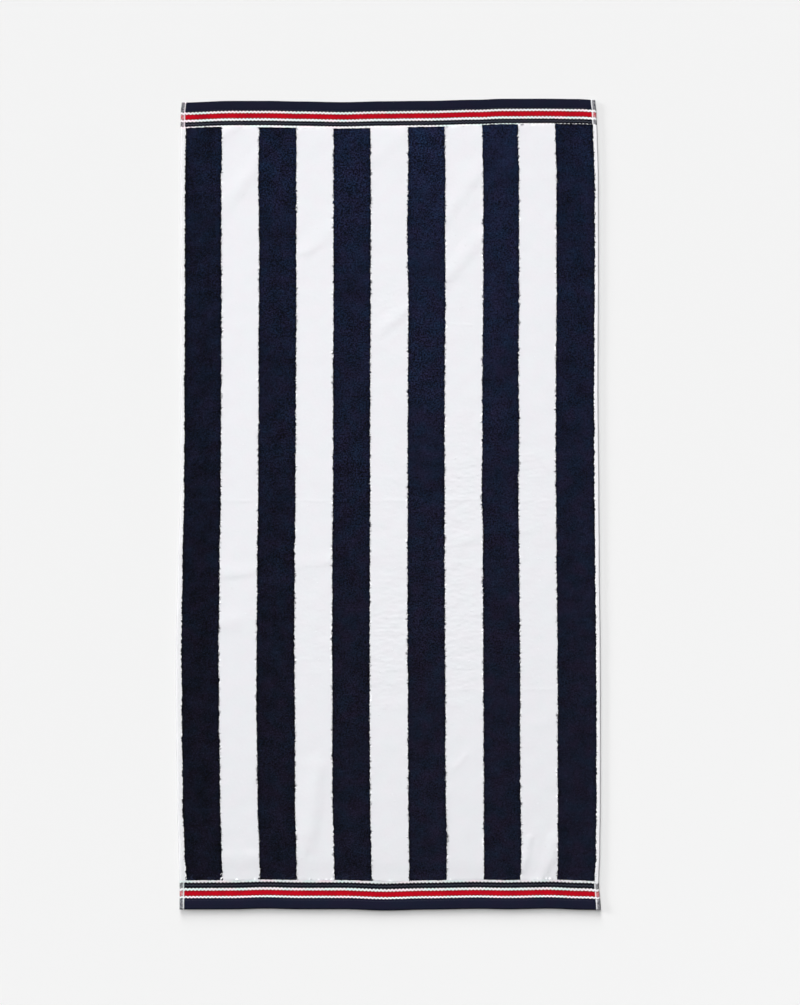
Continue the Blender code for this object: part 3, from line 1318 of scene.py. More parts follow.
        # Painted shade: the colour darkens toward the side's turned edge.
        turned = tree.scaled(at.side, 0.0003, self.turned_edge_shade_width, 0.55, 1.0)
        colour = tree.blend(1.0, colour, turned, "MULTIPLY")
        rubbed = tree.scaled(mottle.outputs["Patches"], 0.3, 0.7, 0.96, 1.02)
        colour = tree.blend(1.0, colour, rubbed, "MULTIPLY")
        hue = tree.scaled(mottle.outputs["Hue"], 0.34, 0.66, 0.0, 1.0)
        tint = tree.blend(hue, (1.10, 0.96, 1.0, 1.0), (0.90, 1.04, 1.0, 1.0))
        fades = tree.scaled(at.across, self.tint_end, self.tint_end + 0.005, 1.0, 0.0)
        tinted = tree.blend(1.0, colour, tint, "MULTIPLY")
        return tree.blend(tree.maths("MULTIPLY", at.in_border, fades), colour, tinted)

    def make(self, effects: Effects) -> bpy.types.Material:
        """Builds the material.

        Args:
            effects: The shader groups.

        Returns:
            The material.
        """
        material, tree = empty_material("woven_cloth")
        place = cloth_place(tree)
        at = self.measure(tree, place)
        ribs = tree.group(effects.ribs, place)
        loops = tree.group(effects.loops, place)
        mottle = tree.group(effects.mottle, place)
        colour = self.shaded_and_worn(tree, at, self.dyed(tree, at, mottle), mottle)
        shade = tree.scaled(ribs.outputs["Height"], 0.0, 0.9, 0.94, 1.03)
        colour = tree.blend(1.0, colour, shade, "MULTIPLY")
        flat = tree.maths("MAXIMUM", at.in_border, at.in_hem)
        heights = {0: flat, 2: loops.outputs["Height"], 3: ribs.outputs["Height"]}
        height = tree.add("ShaderNodeMix", heights).outputs[0]
        bump = tree.add("ShaderNodeBump", {"Strength": 0.35, "Distance": 0.0003, "Height": height})
        matt_shader(tree, **{"Base Color": colour, "Normal": bump.outputs["Normal"]})
        return material


@dataclass(frozen=True)
class ThreadFinish:
    """The look of sewing thread: smooth and slightly shiny, with a fine twist."""

    name: str
    dye: Dye
    twist_pitch: float = 0.0007

    def make(self) -> bpy.types.Material:
        """Builds the material.

        Returns:
            The material.
        """
        material, tree = empty_material(self.name)
        place = tree.add("ShaderNodeTexCoord").outputs["Object"]
        slant = tree.add("ShaderNodeMapping", {"Vector": place, "Rotation": (0.0, 0.0, 0.6)})
        wave = tree.add(
            "ShaderNodeTexWave",
            {"Vector": slant.outputs["Vector"], "Scale": 1.0 / (self.twist_pitch * 6.28)},
        )
        # Painted shade: the thread's colour darkens in the twist's grooves, following the same wave
        # as its bump.
        tone = tree.scaled(wave.outputs["Fac"], 0.0, 1.0, 0.80, 1.05)
        colour = tree.blend(1.0, self.dye.rgba, tone, "MULTIPLY")
        bump = tree.add(
            "ShaderNodeBump", {"Strength": 0.4, "Distance": 0.0002, "Height": wave.outputs["Fac"]}
        )
        sockets = {
            "Base Color": colour,
            "Roughness": 0.55,
            "Specular IOR Level": 0.35,
            "Normal": bump.outputs["Normal"],
        }
        matt_shader(tree, **sockets)
        return material


# ---------------------------------------------------------------------------------------------
# The woven sheet
# ---------------------------------------------------------------------------------------------


@dataclass(frozen=True)
class ProfileRow:
    """One point of a section of the sheet.

    Attributes:
        inset: How far in from the edge it is.
        height: How high it stands, in metres or, for the rim, as a share of the sheet's height.
    """

    inset: float
    height: float


END_PROFILE = (
    ProfileRow(0.0000, 0.0029),
    ProfileRow(0.0040, 0.0031),
    ProfileRow(0.0160, 0.0031),
    ProfileRow(0.0186, 0.0030),
    ProfileRow(0.0194, 0.0026),
    ProfileRow(0.0202, 0.0029),
    ProfileRow(0.0214, 0.0028),
    ProfileRow(0.0228, 0.0022),
    ProfileRow(0.0540, 0.0022),
    ProfileRow(0.0600, 0.0026),
)
SIDE_PROFILE = (
    ProfileRow(0.0000, 0.0025),
    ProfileRow(0.0025, 0.0027),
    ProfileRow(0.0056, 0.0027),
    ProfileRow(0.0063, 0.0023),
    ProfileRow(0.0070, 0.0026),
    ProfileRow(0.0090, 0.0024),
    ProfileRow(0.0105, 0.0020),
)
RIM_PROFILE = (
    ProfileRow(0.0026, 1.00),
    ProfileRow(0.0011, 0.80),
    ProfileRow(0.0000, 0.30),
    ProfileRow(0.0003, 0.09),
)


def read_profile(rows: Sequence[ProfileRow], inset: Array) -> Array:
    """The height of a section at these insets."""
    return np.interp(inset, [row.inset for row in rows], [row.height for row in rows])


@dataclass(frozen=True)
class WovenSheet:
    """The ground cloth, borders and hems: one closed thin sheet.

    Attributes:
        lie: How the towel lies.
        layout: Where the stripes and bands fall.
        column_step: The spacing of the points across the ground.
        row_step: The spacing of the points along it.
        under_every: How many of the upper face's rows the underside has one for.
        band_crown: How far a weft band stands up between its edges.
        valley: How far in from its edge a band starts to rise.
        hem_step: How far, at least, the side hems stand above the cloth between them.
        pucker: How far the sewing puckers the cloth.
    """

    lie: TowelLie
    layout: Layout
    column_step: float = 0.0031
    row_step: float = 0.0150
    under_every: int = 3
    band_crown: float = 0.00014
    valley: float = 0.0004
    hem_step: float = 0.0004
    pucker: float = 0.00022

    def columns(self) -> Array:
        """Spaces the sheet's places across, closest together over the hems.

        Returns:
            The places.
        """
        hem = np.array([0.0028, 0.0042, 0.0056, 0.0063, 0.0070, 0.0080, 0.0090, 0.0105])
        near = np.concatenate([[RIM_PROFILE[0].inset], hem])
        steps = int(round((CLOTH_WIDTH - 2 * near[-1]) / self.column_step))
        field = np.linspace(near[-1], CLOTH_WIDTH - near[-1], steps + 1)[1:-1]
        return np.concatenate([near, field, CLOTH_WIDTH - near[::-1]])

    def end_rows(self, edges: Array) -> Array:
        """Spaces the places in from one end: the hem's section, then each band's edges and middle.

        Args:
            edges: Where each band starts, and then where the pile starts.

        Returns:
            The places.
        """
        hem = [0.003, 0.006, 0.009, 0.012, 0.015, 0.017, 0.0186, 0.0194, 0.0202]
        bands = [RIM_PROFILE[0].inset] + hem
        for start, stop in zip(edges[1:], edges[2:]):
            count = 4 if stop - start > 0.008 else 3
            bands += [start, *np.linspace(start + self.valley, stop - self.valley, count)]
        return np.array(bands + [edges[-1], edges[-1] + 0.003])

    def rows(self) -> Array:
        """Spaces the sheet's places along its length.

        Returns:
            The places.
        """
        foot, top = self.end_rows(self.layout.foot_edges), self.end_rows(self.layout.top_edges)
        run = CLOTH_LENGTH - top[-1] - foot[-1]
        steps = int(round(run / self.row_step))
        field = np.linspace(foot[-1], CLOTH_LENGTH - top[-1], steps + 1)[1:-1]
        return np.concatenate([foot, field, CLOTH_LENGTH - top[::-1]])

    def height(self, u: Array, v: Array) -> Array:
        """Finds how high the sheet's upper face stands above its underside.

        Args:
            u: Places across the cloth.
            v: Places along it.

        Returns:
            The height at each place.
        """
        inset = self.layout.mean_inset(v)
        side = np.minimum(u, CLOTH_WIDTH - u)
        end = read_profile(END_PROFILE, inset)
        edges = self.layout.mean_edges
        band = np.clip(np.searchsorted(edges, inset, side="right") - 1, 1, len(edges) - 2)
        part = np.clip((inset - edges[band]) / (edges[band + 1] - edges[band]), 0.0, 1.0)
        crown = self.band_crown * np.sin(np.pi * part) * (inset > edges[1])
        hem = read_profile(SIDE_PROFILE, side)
        in_field = eased((side - 0.0085) / 0.0020)
        tall = np.maximum(hem, end + self.hem_step)
        base = tall + (end + crown - tall) * in_field
        near_hem = np.exp(-side / 0.02) + np.exp(-inset / 0.03)
        return base + self.pucker * near_hem * soft_noise(u, v, 0.0085, 31)

    def build(self, material: bpy.types.Material) -> bpy.types.Object:
        """Makes the sheet, with its places on the cloth kept for its finish.

        Args:
            material: The sheet's finish.

        Returns:
            The sheet.
        """
        across, along = self.columns(), self.rows()
        slab = Slab(len(across), len(along), self.under_every, self.under_every)
        u, v = np.meshgrid(across, along)
        upper = self.lie.upper_point(u, v, self.height(u, v))
        rings, ring_u, ring_v = self.rim(slab.keys, across, along)
        under_u, under_v = np.meshgrid(across[slab.under_i], along[slab.under_j])
        sheet = slab.make("towel_cloth", upper, rings, self.lie.lower_point(under_u, under_v))
        all_u = np.concatenate([u.ravel(), *ring_u, under_u.ravel()])
        all_v = np.concatenate([v.ravel(), *ring_v, under_v.ravel()])
        put_cloth_map(sheet.data, all_u, all_v)
        put_values(sheet.data, "inset", self.layout.mean_inset(all_v))
        all_y = self.lie.place(all_u, all_v)[1]
        left = self.layout.stripe_edge(0, all_v, all_y)
        right = self.layout.stripe_edge(len(STRIPES), all_v, all_y)
        put_values(sheet.data, "hem", np.maximum(left - all_u, all_u - right))
        sheet.data.materials.append(material)
        return sheet

    def rim(
        self, keys: Array, across: Array, along: Array
    ) -> tuple[list[Array], list[Array], list[Array]]:
        """Makes the rings of points that round the sheet's edge, between its two faces.

        Args:
            keys: The column and row of each outline point.
            across: The sheet's places across.
            along: Its places along its length.

        Returns:
            For each ring, its points, and their places across and along the cloth.
        """
        rings, ring_u, ring_v = [], [], []
        last_i, last_j = len(across) - 1, len(along) - 1
        for row in RIM_PROFILE[1:]:
            u, v = across[keys[:, 0]], along[keys[:, 1]]
            u = np.where(keys[:, 0] == 0, row.inset, u)
            u = np.where(keys[:, 0] == last_i, CLOTH_WIDTH - row.inset, u)
            v = np.where(keys[:, 1] == 0, row.inset, v)
            v = np.where(keys[:, 1] == last_j, CLOTH_LENGTH - row.inset, v)
            height = self.height(u, v) * row.height
            ring = self.lie.lower_point(u, v)
            ring[:, 2] += height
            rings.append(ring)
            ring_u.append(u)
            ring_v.append(v)
        return rings, ring_u, ring_v


# ---------------------------------------------------------------------------------------------
# The pile
# ---------------------------------------------------------------------------------------------


class PileNodes:
    """The Geometry Nodes tree that turns a smooth pad into looped pile."""

    def __init__(self) -> None:
        """Builds the tree."""
        takes = {
            "Pad": GEOMETRY,
            "Nub Height": (FLOAT, 0.0005),
            "Sway": (FLOAT, 0.0010),
            "Edge Sway": (FLOAT, 0.0024),
            "Loop Span": (FLOAT, 0.0026),
            "Loop Rise": (FLOAT, 0.0014),
            "Yarn Radius": (FLOAT, 0.00042),
            "Edge Loops": (FLOAT, 0.36),
            "Field Loops": (FLOAT, 0.014),
            "Seed": INT,
            "Material": MATERIAL,
        }
        gives = {"Pile": GEOMETRY}
        parts = new_group("terry_pile", "GeometryNodeTree", takes, gives)
        self.group, self.tree, self.start, end = parts
        nubs = self.add_nubs()
        loops = self.add_loops(nubs)
        joined = self.tree.add("GeometryNodeJoinGeometry")
        self.tree.put(loops, joined.inputs[0])
        self.tree.put(nubs, joined.inputs[0])
        real = self.tree.add("GeometryNodeRealizeInstances", {0: joined.outputs[0]})
        smooth = self.tree.add("GeometryNodeSetShadeSmooth", {0: real.outputs[0]})
        inputs = {"Geometry": smooth.outputs[0], "Material": self.start.outputs["Material"]}
        dressed = self.tree.add("GeometryNodeSetMaterial", inputs)
        self.tree.put(dressed.outputs[0], end.inputs["Pile"])

    def chance(self, low: Any, high: Any, salt: int, kind: str = "FLOAT") -> Socket:
        """Draws a random value for each point.

        Args:
            low: The least it can be.
            high: The most it can be.
            salt: Sets this draw apart from the others.
            kind: FLOAT, or FLOAT_VECTOR.

        Returns:
            The value's socket.
        """
        seed = self.tree.maths("ADD", self.start.outputs["Seed"], float(salt))
        node = self.tree.add("FunctionNodeRandomValue", {"Seed": seed}, data_type=kind)
        first = 0 if kind == "FLOAT_VECTOR" else 2
        self.tree.put(low, node.inputs[first])
        self.tree.put(high, node.inputs[first + 1])
        return node.outputs[0 if kind == "FLOAT_VECTOR" else 1]

    def named(self, name: str) -> Socket:
        """A named number kept on the pad."""
        node = self.tree.add("GeometryNodeInputNamedAttribute", {"Name": name})
        return node.outputs["Attribute"]

    def add_nubs(self) -> Socket:
        """Moves the pad's points to make an uneven surface of nubs, and notes each one's loft.

        Returns:
            The socket of the moved pad.
        """
        tree = self.tree
        free, edge = self.named("free"), self.named("edge")
        loft = self.chance(0.0, 1.0, 1)
        centred = tree.maths("SUBTRACT", loft, 0.5)
        rise = tree.maths("MULTIPLY", centred, self.start.outputs["Nub Height"])
        edge_sway = tree.maths("MULTIPLY", edge, self.start.outputs["Edge Sway"])
        sway = tree.maths("ADD", self.start.outputs["Sway"], edge_sway)
        sway_x = tree.maths("MULTIPLY", self.chance(-0.5, 0.5, 2), sway)
        sway_y = tree.maths("MULTIPLY", self.chance(-0.5, 0.5, 3), self.start.outputs["Sway"])
        move = tree.add("ShaderNodeCombineXYZ", {0: sway_x, 1: sway_y, 2: rise})
        freed = tree.add(
            "ShaderNodeVectorMath", {0: move.outputs[0], "Scale": free}, operation="SCALE"
        )
        noted = tree.add(
            "GeometryNodeStoreNamedAttribute",
            {"Geometry": self.start.outputs["Pad"], "Name": "loft", "Value": loft},
            data_type="FLOAT",
            domain="POINT",
        )
        inputs = {"Geometry": noted.outputs[0], "Offset": freed.outputs[0]}
        return tree.add("GeometryNodeSetPosition", inputs).outputs[0]

    def add_loops(self, nubs: Socket) -> Socket:
        """Sets whole loops of yarn along the pad's edges, and a few in its field.

        Args:
            nubs: The pad, with its nubs.

        Returns:
            The socket of the loops.
        """
        tree = self.tree
        edge, free = self.named("edge"), self.named("free")
        field = tree.maths("MULTIPLY", free, self.start.outputs["Field Loops"])
        share = tree.maths("MULTIPLY_ADD", edge, self.start.outputs["Edge Loops"], field)
        chosen = tree.maths("LESS_THAN", self.chance(0.0, 1.0, 4), share)
        points = tree.add("GeometryNodeMeshToPoints", {"Mesh": nubs, "Selection": chosen})
        span, rise = self.start.outputs["Loop Span"], self.start.outputs["Loop Rise"]
        half = tree.maths("MULTIPLY", span, 0.5)
        foot = tree.maths("MULTIPLY", rise, -0.6)
        first = tree.add("ShaderNodeCombineXYZ", {0: tree.maths("MULTIPLY", half, -1.0), 2: foot})
        last = tree.add("ShaderNodeCombineXYZ", {0: half, 2: foot})
        crown = tree.add("ShaderNodeCombineXYZ", {2: tree.maths("MULTIPLY", rise, 1.3)})
        arc = tree.add(
            "GeometryNodeCurveQuadraticBezier",
            {
                "Resolution": 3,
                "Start": first.outputs[0],
                "Middle": crown.outputs[0],
                "End": last.outputs[0],
            },
        )
        ring = tree.add(
            "GeometryNodeCurvePrimitiveCircle",
            {"Resolution": 3, "Radius": self.start.outputs["Yarn Radius"]},
        )
        yarn = tree.add(
            "GeometryNodeCurveToMesh",
            {"Curve": arc.outputs[0], "Profile Curve": ring.outputs[0], "Fill Caps": True},
        )
        turned = self.chance((-0.5, -0.5, 0.0), (0.5, 0.5, 6.28), 5, "FLOAT_VECTOR")
        return tree.add(
            "GeometryNodeInstanceOnPoints",
            {
                "Points": points.outputs[0],
                "Instance": yarn.outputs[0],
                "Rotation": turned,
                "Scale": self.chance((0.7, 0.7, 0.7), (1.15, 1.15, 1.15), 6, "FLOAT_VECTOR"),
            },
        ).outputs[0]


@dataclass(frozen=True)
class PileCut:
    """How rough one dye's pile stands.

    Attributes:
        nub_height: How far its nubs rise and fall.
        sway: How far its loops lean.
        edge_sway: How much further those at the stripe's edge lean.
        field_loops: The share of its loops that stand out whole.
    """

    nub_height: float
    sway: float
    edge_sway: float
    field_loops: float


@dataclass(frozen=True)
class PileStripe:
    """The pile of one warp stripe.

    Attributes:
        lie: How the towel lies.
        layout: Where the stripes and bands fall.
        order: Which stripe, from 0 at the left.
        cut: How rough its pile stands.
        height: How high the pile stands above the towel's underside.
        root: How high its foot is.
        skirt: How far above the root its outer wall ends.
        cell: The spacing of its points.
        lip: How close to the edge the second row of points is.
        swell: How far the pile's height varies.
        outer_fall: How far the pile rolls down at a border or side hem.
        outer_reach: How far in it does so.
        foot_fall: How far it slopes down toward the foot border.
        foot_reach: How far in that slope starts.
    """

    lie: TowelLie
    layout: Layout
    order: int
    cut: PileCut
    height: float = 0.0034
    root: float = 0.0012
    skirt: float = 0.0005
    cell: float = 0.0024
    lip: float = 0.0004
    swell: float = 0.00012
    outer_fall: float = 0.0003
    outer_reach: float = 0.0050
    foot_fall: float = 0.0007
    foot_reach: float = 0.0420

    @property
    def row(self) -> StripeRow:
        """The stripe's row in the table of stripes."""
        return STRIPES[self.order]

    def build(self, nodes: PileNodes, material: bpy.types.Material) -> bpy.types.Object:
        """Makes a closed smooth pad and runs the pile's nodes on it.

        Args:
            nodes: The pile's nodes.
            material: The pile's finish.

        Returns:
            The stripe.
        """
        foot = float(self.layout.foot_edges[-1])
        top = CLOTH_LENGTH - float(self.layout.top_edges[-1]) + self.row.lean
        wide = int(round(self.row.width / self.cell)) + 1
        deep = int(round((top - foot) / self.cell)) + 1
        shares = (self.spread(wide, self.row.width), self.spread(deep, top - foot))
        share, part = np.meshgrid(*shares)
        v = foot + (top - foot) * part
        y = self.lie.place(np.full_like(v, CLOTH_WIDTH / 2), v)[1]
        left = self.layout.stripe_edge(self.order, v, y)
        right = self.layout.stripe_edge(self.order + 1, v, y)
        u = left + (right - left) * share
        height = self.height + self.swell * soft_noise(u, v, 0.022, 61)
        height = height + self.lie.ripple(*self.lie.place(u, v))
        height = height - self.edge_fall(u, v, left, right, foot, top)

        slab = Slab(wide, deep, 6, 5)
        upper = self.lie.upper_point(u, v, height)
        base = self.lie.upper_point(u, v, np.full_like(u, self.root))
        skirt = base.reshape(-1, 3)[slab.edge]
        skirt[:, 2] += self.skirt
        lower = base[np.ix_(slab.under_j, slab.under_i)]
        pad = slab.make(self.row.name, upper, [skirt], lower)
        self.mark(pad.data, slab, u, v)
        pad.data.materials.append(material)
        values = {
            "Seed": 17 * self.order + 3,
            "Nub Height": self.cut.nub_height,
            "Sway": self.cut.sway,
            "Edge Sway": self.cut.edge_sway,
            "Field Loops": self.cut.field_loops,
            "Material": material,
        }
        return run_nodes(pad, nodes.group, values)

    def mark(self, mesh: bpy.types.Mesh, slab: Slab, u: Array, v: Array) -> None:
        """Keeps, for each point of the pad, its place on the cloth and how near the edge it is.

        Args:
            mesh: The pad's mesh.
            slab: The pad's layout.
            u: The upper points' places across the cloth.
            v: Their places along it.
        """
        under = np.ix_(slab.under_j, slab.under_i)
        all_u = np.concatenate([u.ravel(), u.ravel()[slab.edge], u[under].ravel()])
        all_v = np.concatenate([v.ravel(), v.ravel()[slab.edge], v[under].ravel()])
        put_cloth_map(mesh, all_u, all_v)
        brink = np.zeros_like(u)
        brink[:, [2, -3]] = 0.25
        brink[[1, -2], :] = brink[:, [1, -2]] = 0.75
        brink[[0, -1], :] = brink[:, [0, -1]] = 1.0
        rest = len(all_u) - u.size
        on_edge = np.zeros(len(all_u))
        on_edge[slab.edge] = 1.0
        put_values(mesh, "brink", np.concatenate([brink.ravel(), np.ones(rest)]))
        put_values(mesh, "edge", on_edge)
        put_values(mesh, "free", np.concatenate([np.ones(u.size), np.zeros(rest)]))

    def spread(self, count: int, length: float) -> Array:
        """Spaces places from 0 to 1 evenly, but for the second from each end, which is close to it.

        Args:
            count: How many places.
            length: The length that they divide.

        Returns:
            The places.
        """
        places = np.linspace(0.0, 1.0, count)
        places[1] = self.lip / length
        places[-2] = 1.0 - places[1]
        return places

    def edge_fall(
        self, u: Array, v: Array, left: Array, right: Array, foot: float, top: float
    ) -> Array:
        """Finds how far the pile rolls down where it meets a border or a side hem.

        Args:
            u: Places across the cloth.
            v: Places along it.
            left: Where the stripe's left edge is.
            right: Where its right edge is.
            foot: Where its foot is.
            top: Where its top is.

        Returns:
            The fall at each place.
        """
        away = top - v
        if self.order == 0:
            away = np.minimum(away, u - left)
        if self.order == len(STRIPES) - 1:
            away = np.minimum(away, right - u)
        fall = self.outer_fall * (1.0 - eased(away / self.outer_reach))
        return np.maximum(fall, self.foot_fall * (1.0 - eased((v - foot) / self.foot_reach)))


# ---------------------------------------------------------------------------------------------
# The hems' sewing
# ---------------------------------------------------------------------------------------------


class StitchNodes:
    """The Geometry Nodes tree that lays stitches along a line of sewing."""

    def __init__(self) -> None:
        """Builds the tree."""
        takes = {
            "Line": GEOMETRY,
            "Pitch": (FLOAT, 0.0032),
            "Length": (FLOAT, 0.0025),
            "Thread": (FLOAT, 0.00034),
            "Seed": INT,
            "Material": MATERIAL,
        }
        parts = new_group("hem_stitches", "GeometryNodeTree", takes, {"Stitches": GEOMETRY})
        self.group, tree, start, end = parts
        curve = tree.add("GeometryNodeMeshToCurve", {"Mesh": start.outputs["Line"]})
        points = tree.add(
            "GeometryNodeCurveToPoints",
            {"Curve": curve.outputs[0], "Length": start.outputs["Pitch"]},
            mode="LENGTH",
        )
        stitch = tree.add(
            "GeometryNodeMeshUVSphere", {"Segments": 5, "Rings": 4, "Radius": 1.0}
        )
        half = tree.maths("MULTIPLY", start.outputs["Length"], 0.5)
        thread = start.outputs["Thread"]
        shape = tree.add("ShaderNodeCombineXYZ", {0: thread, 1: thread, 2: half})
        sized = tree.add(
            "GeometryNodeTransform", {"Geometry": stitch.outputs["Mesh"], "Scale": shape.outputs[0]}
        )
        uneven = tree.add(
            "FunctionNodeRandomValue",
            {0: (0.9, 0.9, 0.85), 1: (1.1, 1.1, 1.05), "Seed": start.outputs["Seed"]},
            data_type="FLOAT_VECTOR",
        )
        laid = tree.add(
            "GeometryNodeInstanceOnPoints",
            {
                "Points": points.outputs["Points"],
                "Instance": sized.outputs[0],
                "Rotation": points.outputs["Rotation"],
                "Scale": uneven.outputs[0],
            },
        )
        real = tree.add("GeometryNodeRealizeInstances", {0: laid.outputs[0]})
        smooth = tree.add("GeometryNodeSetShadeSmooth", {0: real.outputs[0]})
        inputs = {"Geometry": smooth.outputs[0], "Material": start.outputs["Material"]}
        dressed = tree.add("GeometryNodeSetMaterial", inputs)
        tree.put(dressed.outputs[0], end.inputs["Stitches"])


@dataclass(frozen=True)
class HemSewing:
    """The lines of stitches that hold the hems down.

    Attributes:
        lie: How the towel lies.
        sheet: The sheet that they hold.
        side_inset: How far in from the sides the white lines run.
        end_inset: How far in from the ends the navy lines run.
        side_start: How far from the ends the white lines stop.
        end_start: How far from the sides the navy lines stop.
        sink: How far the thread sinks into the cloth.
        line_step: The spacing of each line's points.
    """

    lie: TowelLie
    sheet: WovenSheet
    side_inset: float = 0.0063
    end_inset: float = 0.0194
    side_start: float = 0.003
    end_start: float = 0.012
    sink: float = 0.00005
    line_step: float = 0.006

    def line(self, name: str, u: Array, v: Array) -> bpy.types.Object:
        """Makes a line of edges on the sheet's upper face.

        Args:
            name: The line's name.
            u: Its points' places across the cloth.
            v: Their places along it.

        Returns:
            The line.
        """
        height = self.sheet.height(u, v) - self.sink
        points = self.lie.upper_point(u, v, height)
        mesh = bpy.data.meshes.new(name)
        edges = [(n, n + 1) for n in range(len(points) - 1)]
        mesh.from_pydata(points.tolist(), edges, [])
        made = bpy.data.objects.new(name, mesh)
        bpy.context.scene.collection.objects.link(made)
        return made

    def build(
        self, nodes: StitchNodes, materials: Mapping[str, bpy.types.Material]
    ) -> list[bpy.types.Object]:
        """Makes the four lines of stitches, white down the sides and navy across the ends.

        Args:
            nodes: The stitches' nodes.
            materials: The finish of each thread.

        Returns:
            The four lines.
        """
        along = np.arange(self.side_start, CLOTH_LENGTH - self.side_start, self.line_step)
        across = np.arange(self.end_start, CLOTH_WIDTH - self.end_start, self.line_step)
        right_inset, top_inset = CLOTH_WIDTH - self.side_inset, CLOTH_LENGTH - self.end_inset
        lines = (
            ("left_hem_stitches", np.full_like(along, self.side_inset), along, "white"),
            ("right_hem_stitches", np.full_like(along, right_inset), along, "white"),
            ("foot_hem_stitches", across, np.full_like(across, self.end_inset), "navy"),
            ("top_hem_stitches", across, np.full_like(across, top_inset), "navy"),
        )
        made = []
        for seed, (name, u, v, thread) in enumerate(lines):
            piece = self.line(name, u, v)
            values = {"Seed": seed, "Material": materials[thread]}
            made.append(run_nodes(piece, nodes.group, values))
        return made


# ---------------------------------------------------------------------------------------------
# The studio
# ---------------------------------------------------------------------------------------------


@dataclass(frozen=True)
class SunRow:
    """A soft light from far away.

    Attributes:
        name: The light's name.
        bearing: Where it stands, in degrees from the head of the towel toward its left side.
        elevation: How high it stands, in degrees.
        spread: How wide it looks, in degrees.
        energy: Its strength.
    """

    name: str
    bearing: float
    elevation: float
    spread: float
    energy: float


SUN_ROWS = (
    SunRow("top_light", 8.0, 17.0, 24.0, 3.60),
    SunRow("high_top_light", 8.0, 45.0, 40.0, 0.75),
    SunRow("left_light", 70.0, 13.0, 11.0, 1.70),
)


@dataclass(frozen=True)
class Studio:
    """A pale floor, soft light from the upper left, and a camera straight above.

    Attributes:
        view_x: Where the camera hangs, from the middle of the towel toward its right.
        view_y: Where it hangs, toward the towel's head.
        camera_height: How high it hangs.
        lens: Its lens, in millimetres.
        floor_half: Half the floor's side.
        floor_drop: How far the floor lies below the towel.
        floor_tone: The floor's own grey under the soft box.
        floor_falloff_fill: The share of it added for each square metre of the distance from there,
            squared, painted to make up for the soft box's fall-off.
        sky: The strength of the room's even light.
        box_place: Where the soft box hangs.
        box_side: Its side.
        box_power: Its power, in watts.
    """

    view_x: float = 0.0255
    view_y: float = 0.0040
    camera_height: float = 3.0
    lens: float = 50.0
    floor_half: float = 9.0
    floor_drop: float = 0.0002
    floor_tone: float = 0.800
    floor_falloff_fill: float = 0.037
    sky: float = 0.08
    box_place: tuple[float, float, float] = (-0.45, 0.70, 3.6)
    box_side: float = 3.0
    box_power: float = 66.0

    def build(self) -> None:
        """Makes the floor, world, lights and camera."""
        self.floor()
        self.world()
        self.lights()
        self.camera()
        bpy.context.scene.view_settings.view_transform = "Standard"

    def floor(self) -> None:
        """Lays the floor just under the towel, its tone deepened a little toward the soft box:
        painted to cancel the box's fall-off, so that the floor looks evenly lit.
        """
        half = self.floor_half
        corners = [(-half, -half), (half, -half), (half, half), (-half, half)]
        points = np.array([(x, y, -self.floor_drop) for x, y in corners])
        floor = new_object("floor", points, [[0, 1, 2, 3]])
        material, tree = empty_material("pale_floor")
        place = tree.add("ShaderNodeTexCoord").outputs["Object"]
        under_box = (self.box_place[0], self.box_place[1], 0.0)
        away = tree.add("ShaderNodeVectorMath", {0: place, 1: under_box}, operation="DISTANCE")
        # Painted light: the floor's grey grows paler away from the soft box, where its light is
        # weaker.
        squared = tree.maths("MULTIPLY", away.outputs["Value"], away.outputs["Value"])
        rise = self.floor_tone * self.floor_falloff_fill
        level = tree.maths("MULTIPLY_ADD", squared, rise, self.floor_tone)
        tone = tree.add("ShaderNodeCombineColor", {0: level, 1: level, 2: level})
        shader = tree.add(
            "ShaderNodeBsdfPrincipled",
            {"Base Color": tone.outputs[0], "Roughness": 0.9, "Specular IOR Level": 0.04},
        )
        output = tree.add("ShaderNodeOutputMaterial")
        tree.put(shader.outputs["BSDF"], output.inputs["Surface"])
        floor.data.materials.append(material)

    def world(self) -> None:
        """Fills the room with a little even light."""
        world = bpy.data.worlds.new("even_light")
        world.use_nodes = True
        back = world.node_tree.nodes["Background"]
        back.inputs["Color"].default_value = (1.0, 1.0, 1.0, 1.0)
        back.inputs["Strength"].default_value = self.sky
        bpy.context.scene.world = world

    def light(self, data: bpy.types.Light, place: Array, toward: Array) -> None:
        """Puts a light at a place.

        Args:
            data: The light.
            place: Where it stands.
            toward: The way it shines.
        """
        lamp = bpy.data.objects.new(data.name, data)
        lamp.location = place.tolist()
        lamp.rotation_euler = Vector(toward.tolist()).to_track_quat("-Z", "Y").to_euler()
        bpy.context.scene.collection.objects.link(lamp)

    def lights(self) -> None:
        """Sets the lights that stand far away and the soft box overhead."""
        for row in SUN_ROWS:
            data = bpy.data.lights.new(row.name, "SUN")
            data.energy = row.energy
            data.angle = float(np.radians(row.spread))
            bearing, elevation = np.radians((row.bearing, row.elevation))
            flat = np.cos(elevation)
            toward = (flat * np.sin(bearing), -flat * np.cos(bearing), -np.sin(elevation))
            self.light(data, np.zeros(3), np.array(toward))
        data = bpy.data.lights.new("soft_box", "AREA")
        data.energy = self.box_power
        data.size = self.box_side
        self.light(data, np.array(self.box_place), np.array((0.0, 0.0, -1.0)))

    def camera(self) -> None:
        """Hangs the camera over the towel, with the towel's top at the top of the view."""
        data = bpy.data.cameras.new("camera")
        data.lens = self.lens
        camera = bpy.data.objects.new("camera", data)
        camera.location = (self.view_x, self.view_y, self.camera_height)
        bpy.context.scene.collection.objects.link(camera)
        bpy.context.scene.camera = camera


# ---------------------------------------------------------------------------------------------
# The whole towel
# ---------------------------------------------------------------------------------------------


